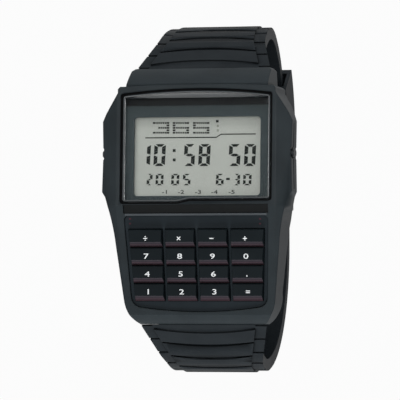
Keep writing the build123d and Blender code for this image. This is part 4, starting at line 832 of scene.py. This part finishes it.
def makeFigures(name, digits, rows, strokes):
    top, bottom = rows
    allPoints, allFaces, count = [], [], 0
    scale = 1 / cameraSet["pixelsPerMetre"]
    lean = tan(radians(displaySet["slant"]))
    upright, level, corner = (stroke * scale for stroke in strokes)
    for digit, left, right in digits:
        x0, y0 = facePoint(displayFace, left, bottom)
        x1, y1 = facePoint(displayFace, right, top)
        height = y1 - y0
        width = x1 - x0 - height * lean
        points, faces = segmentPoints(digit, width, height, upright, level, corner,
                                      displaySet["gap"] * scale)
        if digit == "1":
            points[:, 0] -= width - upright
        points[:, 0] += points[:, 1] * lean + x0
        points[:, 1] += y0
        allPoints.append(points)
        allFaces += [tuple(index + count for index in face) for face in faces]
        count += len(points)
    points = layFlat(np.concatenate(allPoints), displayFace, displaySet["lift"])
    addMesh(name, points, allFaces, displayInk, "watch")


def pixelBars(name, bars, material, face=displayFace):
    # Upright bars given by their left, top, right and bottom pixels
    boxes = []
    for left, top, right, bottom in bars:
        x0, y0 = facePoint(face, left, bottom)
        x1, y1 = facePoint(face, right, top)
        boxes.append(((x0 + x1) / 2, (y0 + y1) / 2, x1 - x0, y1 - y0))
    points, faces = barPoints(boxes)
    addMesh(name, layFlat(points, face, displaySet["lift"]), faces, material, "watch")


makeFigures("mainFigures", displaySet["mainDigits"], displaySet["mainRows"],
            displaySet["mainStrokes"])
makeFigures("smallFigures", displaySet["smallDigits"], displaySet["smallRows"],
            displaySet["smallStrokes"])
colonHalf = displaySet["colonHalf"]
colonColumn = displaySet["colonColumn"]
pixelBars("colonDots", [(colonColumn - colonHalf, row - colonHalf, colonColumn + colonHalf,
                         row + colonHalf) for row in displaySet["colonRows"]], displayInk)
dashLeft, dashRight = displaySet["dash"]
pixelBars("dashMark", [(dashLeft, displaySet["dashRow"] - displaySet["dashHalf"],
                        dashRight, displaySet["dashRow"] + displaySet["dashHalf"])], displayInk)

# Dot figures in the top row of the display
dotSet = {
    "starts": (153.1, 172.9, 193.2), "top": 122.2, "rowStep": 2.44, "dotHeight": 1.75,
    "columns": (0.0, 3.4, 5.5, 7.6, 9.7, 11.8, 13.6),  # outer columns are wider than the others
    "widths": (2.8, 1.6, 1.6, 1.6, 1.6, 1.6, 2.8),
    "text": "365",
}
dotRows = {
    "3": ("1111111", "0000001", "0011111", "0000001", "1111111"),
    "6": ("1111111", "1000000", "1111111", "1000001", "1111111"),
    "5": ("1111111", "1000000", "1111111", "0000001", "1111111"),
}
dots = []
for start, letter in zip(dotSet["starts"], dotSet["text"]):
    for rowIndex, line in enumerate(dotRows[letter]):
        top = dotSet["top"] + rowIndex * dotSet["rowStep"]
        for column, width, mark in zip(dotSet["columns"], dotSet["widths"], line):
            if mark == "1":
                left = start + column
                dots.append((left, top, left + width, top + dotSet["dotHeight"]))
pixelBars("dotFigures", dots, displayInk)

# Small numbers along the foot of the display
footSet = {"row": 192.0, "columns": (164.6, 181.2, 198.2, 214.6, 231.8),
           "height": 0.75 * millimetre}
for number, column in enumerate(footSet["columns"], start=1):
    points, faces = textPoints("-" + str(number), footSet["height"])
    points = points + np.array(facePoint(displayFace, column, footSet["row"]))
    addMesh("footNumber_" + str(number), layFlat(points, displayFace, displaySet["lift"]), faces,
            displayInk, "watch")

# Thin line with a step across the display, and the small squares beside it
lineSet = {"points": ((145.5, 138.0), (216.4, 137.4), (221.3, 134.3), (255.9, 134.0)),
           "width": 1.1}


def stripAlong(pixels, width, face):
    # A flat strip of even width along a row of pixel places
    places = np.array([facePoint(face, *pixel) for pixel in pixels])
    steps = np.gradient(places, axis=0)
    across = np.column_stack((-steps[:, 1], steps[:, 0]))
    lengths = np.linalg.norm(across, axis=1)[:, None]
    across = across / lengths * width / cameraSet["pixelsPerMetre"] / 2
    points = np.concatenate((places - across, places + across))
    count = len(places)
    faces = [(i, i + 1, i + 1 + count, i + count) for i in range(count - 1)]
    return points, faces


points, faces = stripAlong(lineSet["points"], lineSet["width"], displayFace)
addMesh("displayLine", layFlat(points, displayFace, displaySet["lift"]), faces, displayInk,
        "watch")
pixelBars("displaySquare", displaySet["squares"], displayInk)
pixelBars("paleSquares", displaySet["paleSquares"], paleInk)
print("display drawn")

# Small red marks at the corners of the keypad panel: two on each side
markSet = {"columns": ((129.2, 131.0), (259.2, 261.0)), "rows": ((218.0, 219.6), (222.8, 224.4))}
marks = [(left, top, right, bottom) for left, right in markSet["columns"]
         for top, bottom in markSet["rows"]]
pixelBars("cornerMarks", marks, markRed, flatFace("keypad_panel", faceSet["keypad"]))
print("corner marks drawn")

# Floor, world and lamps
studioSet = {
    "floorSize": 1.2,  # half of its side
    "floorTones": ((0.18, 0.18, 0.18), (0.22, 0.22, 0.22)),
    "floorGrain": 60.0,
    "floorRoughness": 0.9,
    "floorGlow": 0.96,
    "horizon": 0.12,  # light of the world, lower at its horizon than overhead
    "zenith": 0.75,
    "mirrored": 0.15,  # share of the white surroundings that shows in gloss
}


def whiteShare(tree, path):
    # How white the surroundings are on a ray: fully for the camera, partly in gloss
    mirrored = addMath(tree, "MULTIPLY", path.outputs["Is Glossy Ray"], studioSet["mirrored"])
    return addMath(tree, "MAXIMUM", path.outputs["Is Camera Ray"], mirrored)


def makeFloor():
    half = studioSet["floorSize"]
    mesh = bpy.data.meshes.new("floor")
    corners = [(-half, -half, 0), (half, -half, 0), (half, half, 0), (-half, half, 0)]
    mesh.from_pydata(corners, [], [(0, 1, 2, 3)])
    floor = bpy.data.objects.new("floor", mesh)
    scene.collection.objects.link(floor)
    material, tree, shader, where = startMaterial("paleFloor")
    grain = addNoise(tree, where, studioSet["floorGrain"])
    fill(tree, shader, {
        "Base Color": addTones(tree, grain, *studioSet["floorTones"]),
        "Roughness": studioSet["floorRoughness"],
        "Specular IOR Level": 0.0,
    })
    white = whiteShare(tree, tree.nodes.new("ShaderNodeLightPath"))
    glow = tree.nodes.new("ShaderNodeEmission")
    mix = tree.nodes.new("ShaderNodeMixShader")
    fill(tree, mix, {
        "Fac": addMath(tree, "MULTIPLY", white, studioSet["floorGlow"]),
        1: shader.outputs["BSDF"],
        2: glow.outputs["Emission"],
    })
    fill(tree, tree.nodes["Material Output"], {"Surface": mix.outputs["Shader"]})
    mesh.materials.append(material)


def makeWorld():
    world = bpy.data.worlds.new("studio")
    scene.world = world
    world.use_nodes = True
    tree = world.node_tree
    path = tree.nodes.new("ShaderNodeLightPath")
    white = addMath(tree, "MAXIMUM", whiteShare(tree, path), path.outputs["Is Transmission Ray"])
    sky = tree.nodes.new("ShaderNodeTexCoord")
    split = tree.nodes.new("ShaderNodeSeparateXYZ")
    fill(tree, split, {"Vector": sky.outputs["Generated"]})
    soft = addRange(tree, split.outputs["Z"], studioSet["horizon"], studioSet["zenith"])
    fill(tree, tree.nodes["Background"], {"Color": (1, 1, 1, 1),
                                          "Strength": addRange(tree, white, soft, 1.0)})


# Low lamps would fill the glass with white in views from the sides, so gloss doesn't show them
lamps = {
    "keyLamp": {"place": (-0.36, 0.3, 0.75), "size": 0.35, "power": 0.85, "inGloss": True},
    "ridgeLamp": {"place": (0.17, 0.05, 0.78), "size": 0.14, "power": 0.85, "inGloss": True},
    "rightLamp": {"place": (0.75, 0.1, 0.35), "size": 0.25, "power": 1.6, "inGloss": False},
    "topLamp": {"place": (0.0, 0.65, 0.25), "size": 0.3, "power": 3.4, "inGloss": False},
    "footLamp": {"place": (-0.05, -0.7, 0.15), "size": 0.25, "power": 7.0, "inGloss": False},
}


def addLamp(name, lampSet):
    data = bpy.data.lights.new(name, "AREA")
    data.size = lampSet["size"]
    data.energy = lampSet["power"]
    lamp = bpy.data.objects.new(name, data)
    scene.collection.objects.link(lamp)
    lamp.location = lampSet["place"]
    lamp.visible_glossy = lampSet["inGloss"]
    lamp.visible_transmission = lampSet["inGloss"]
    lamp.rotation_mode = "QUATERNION"
    towards = Vector(lampSet["place"]) - Vector((0, 0, faceHeight))
    lamp.rotation_quaternion = towards.to_track_quat("Z", "Y")


makeFloor()
makeWorld()
for name, lampSet in lamps.items():
    addLamp(name, lampSet)
print("studio ready")
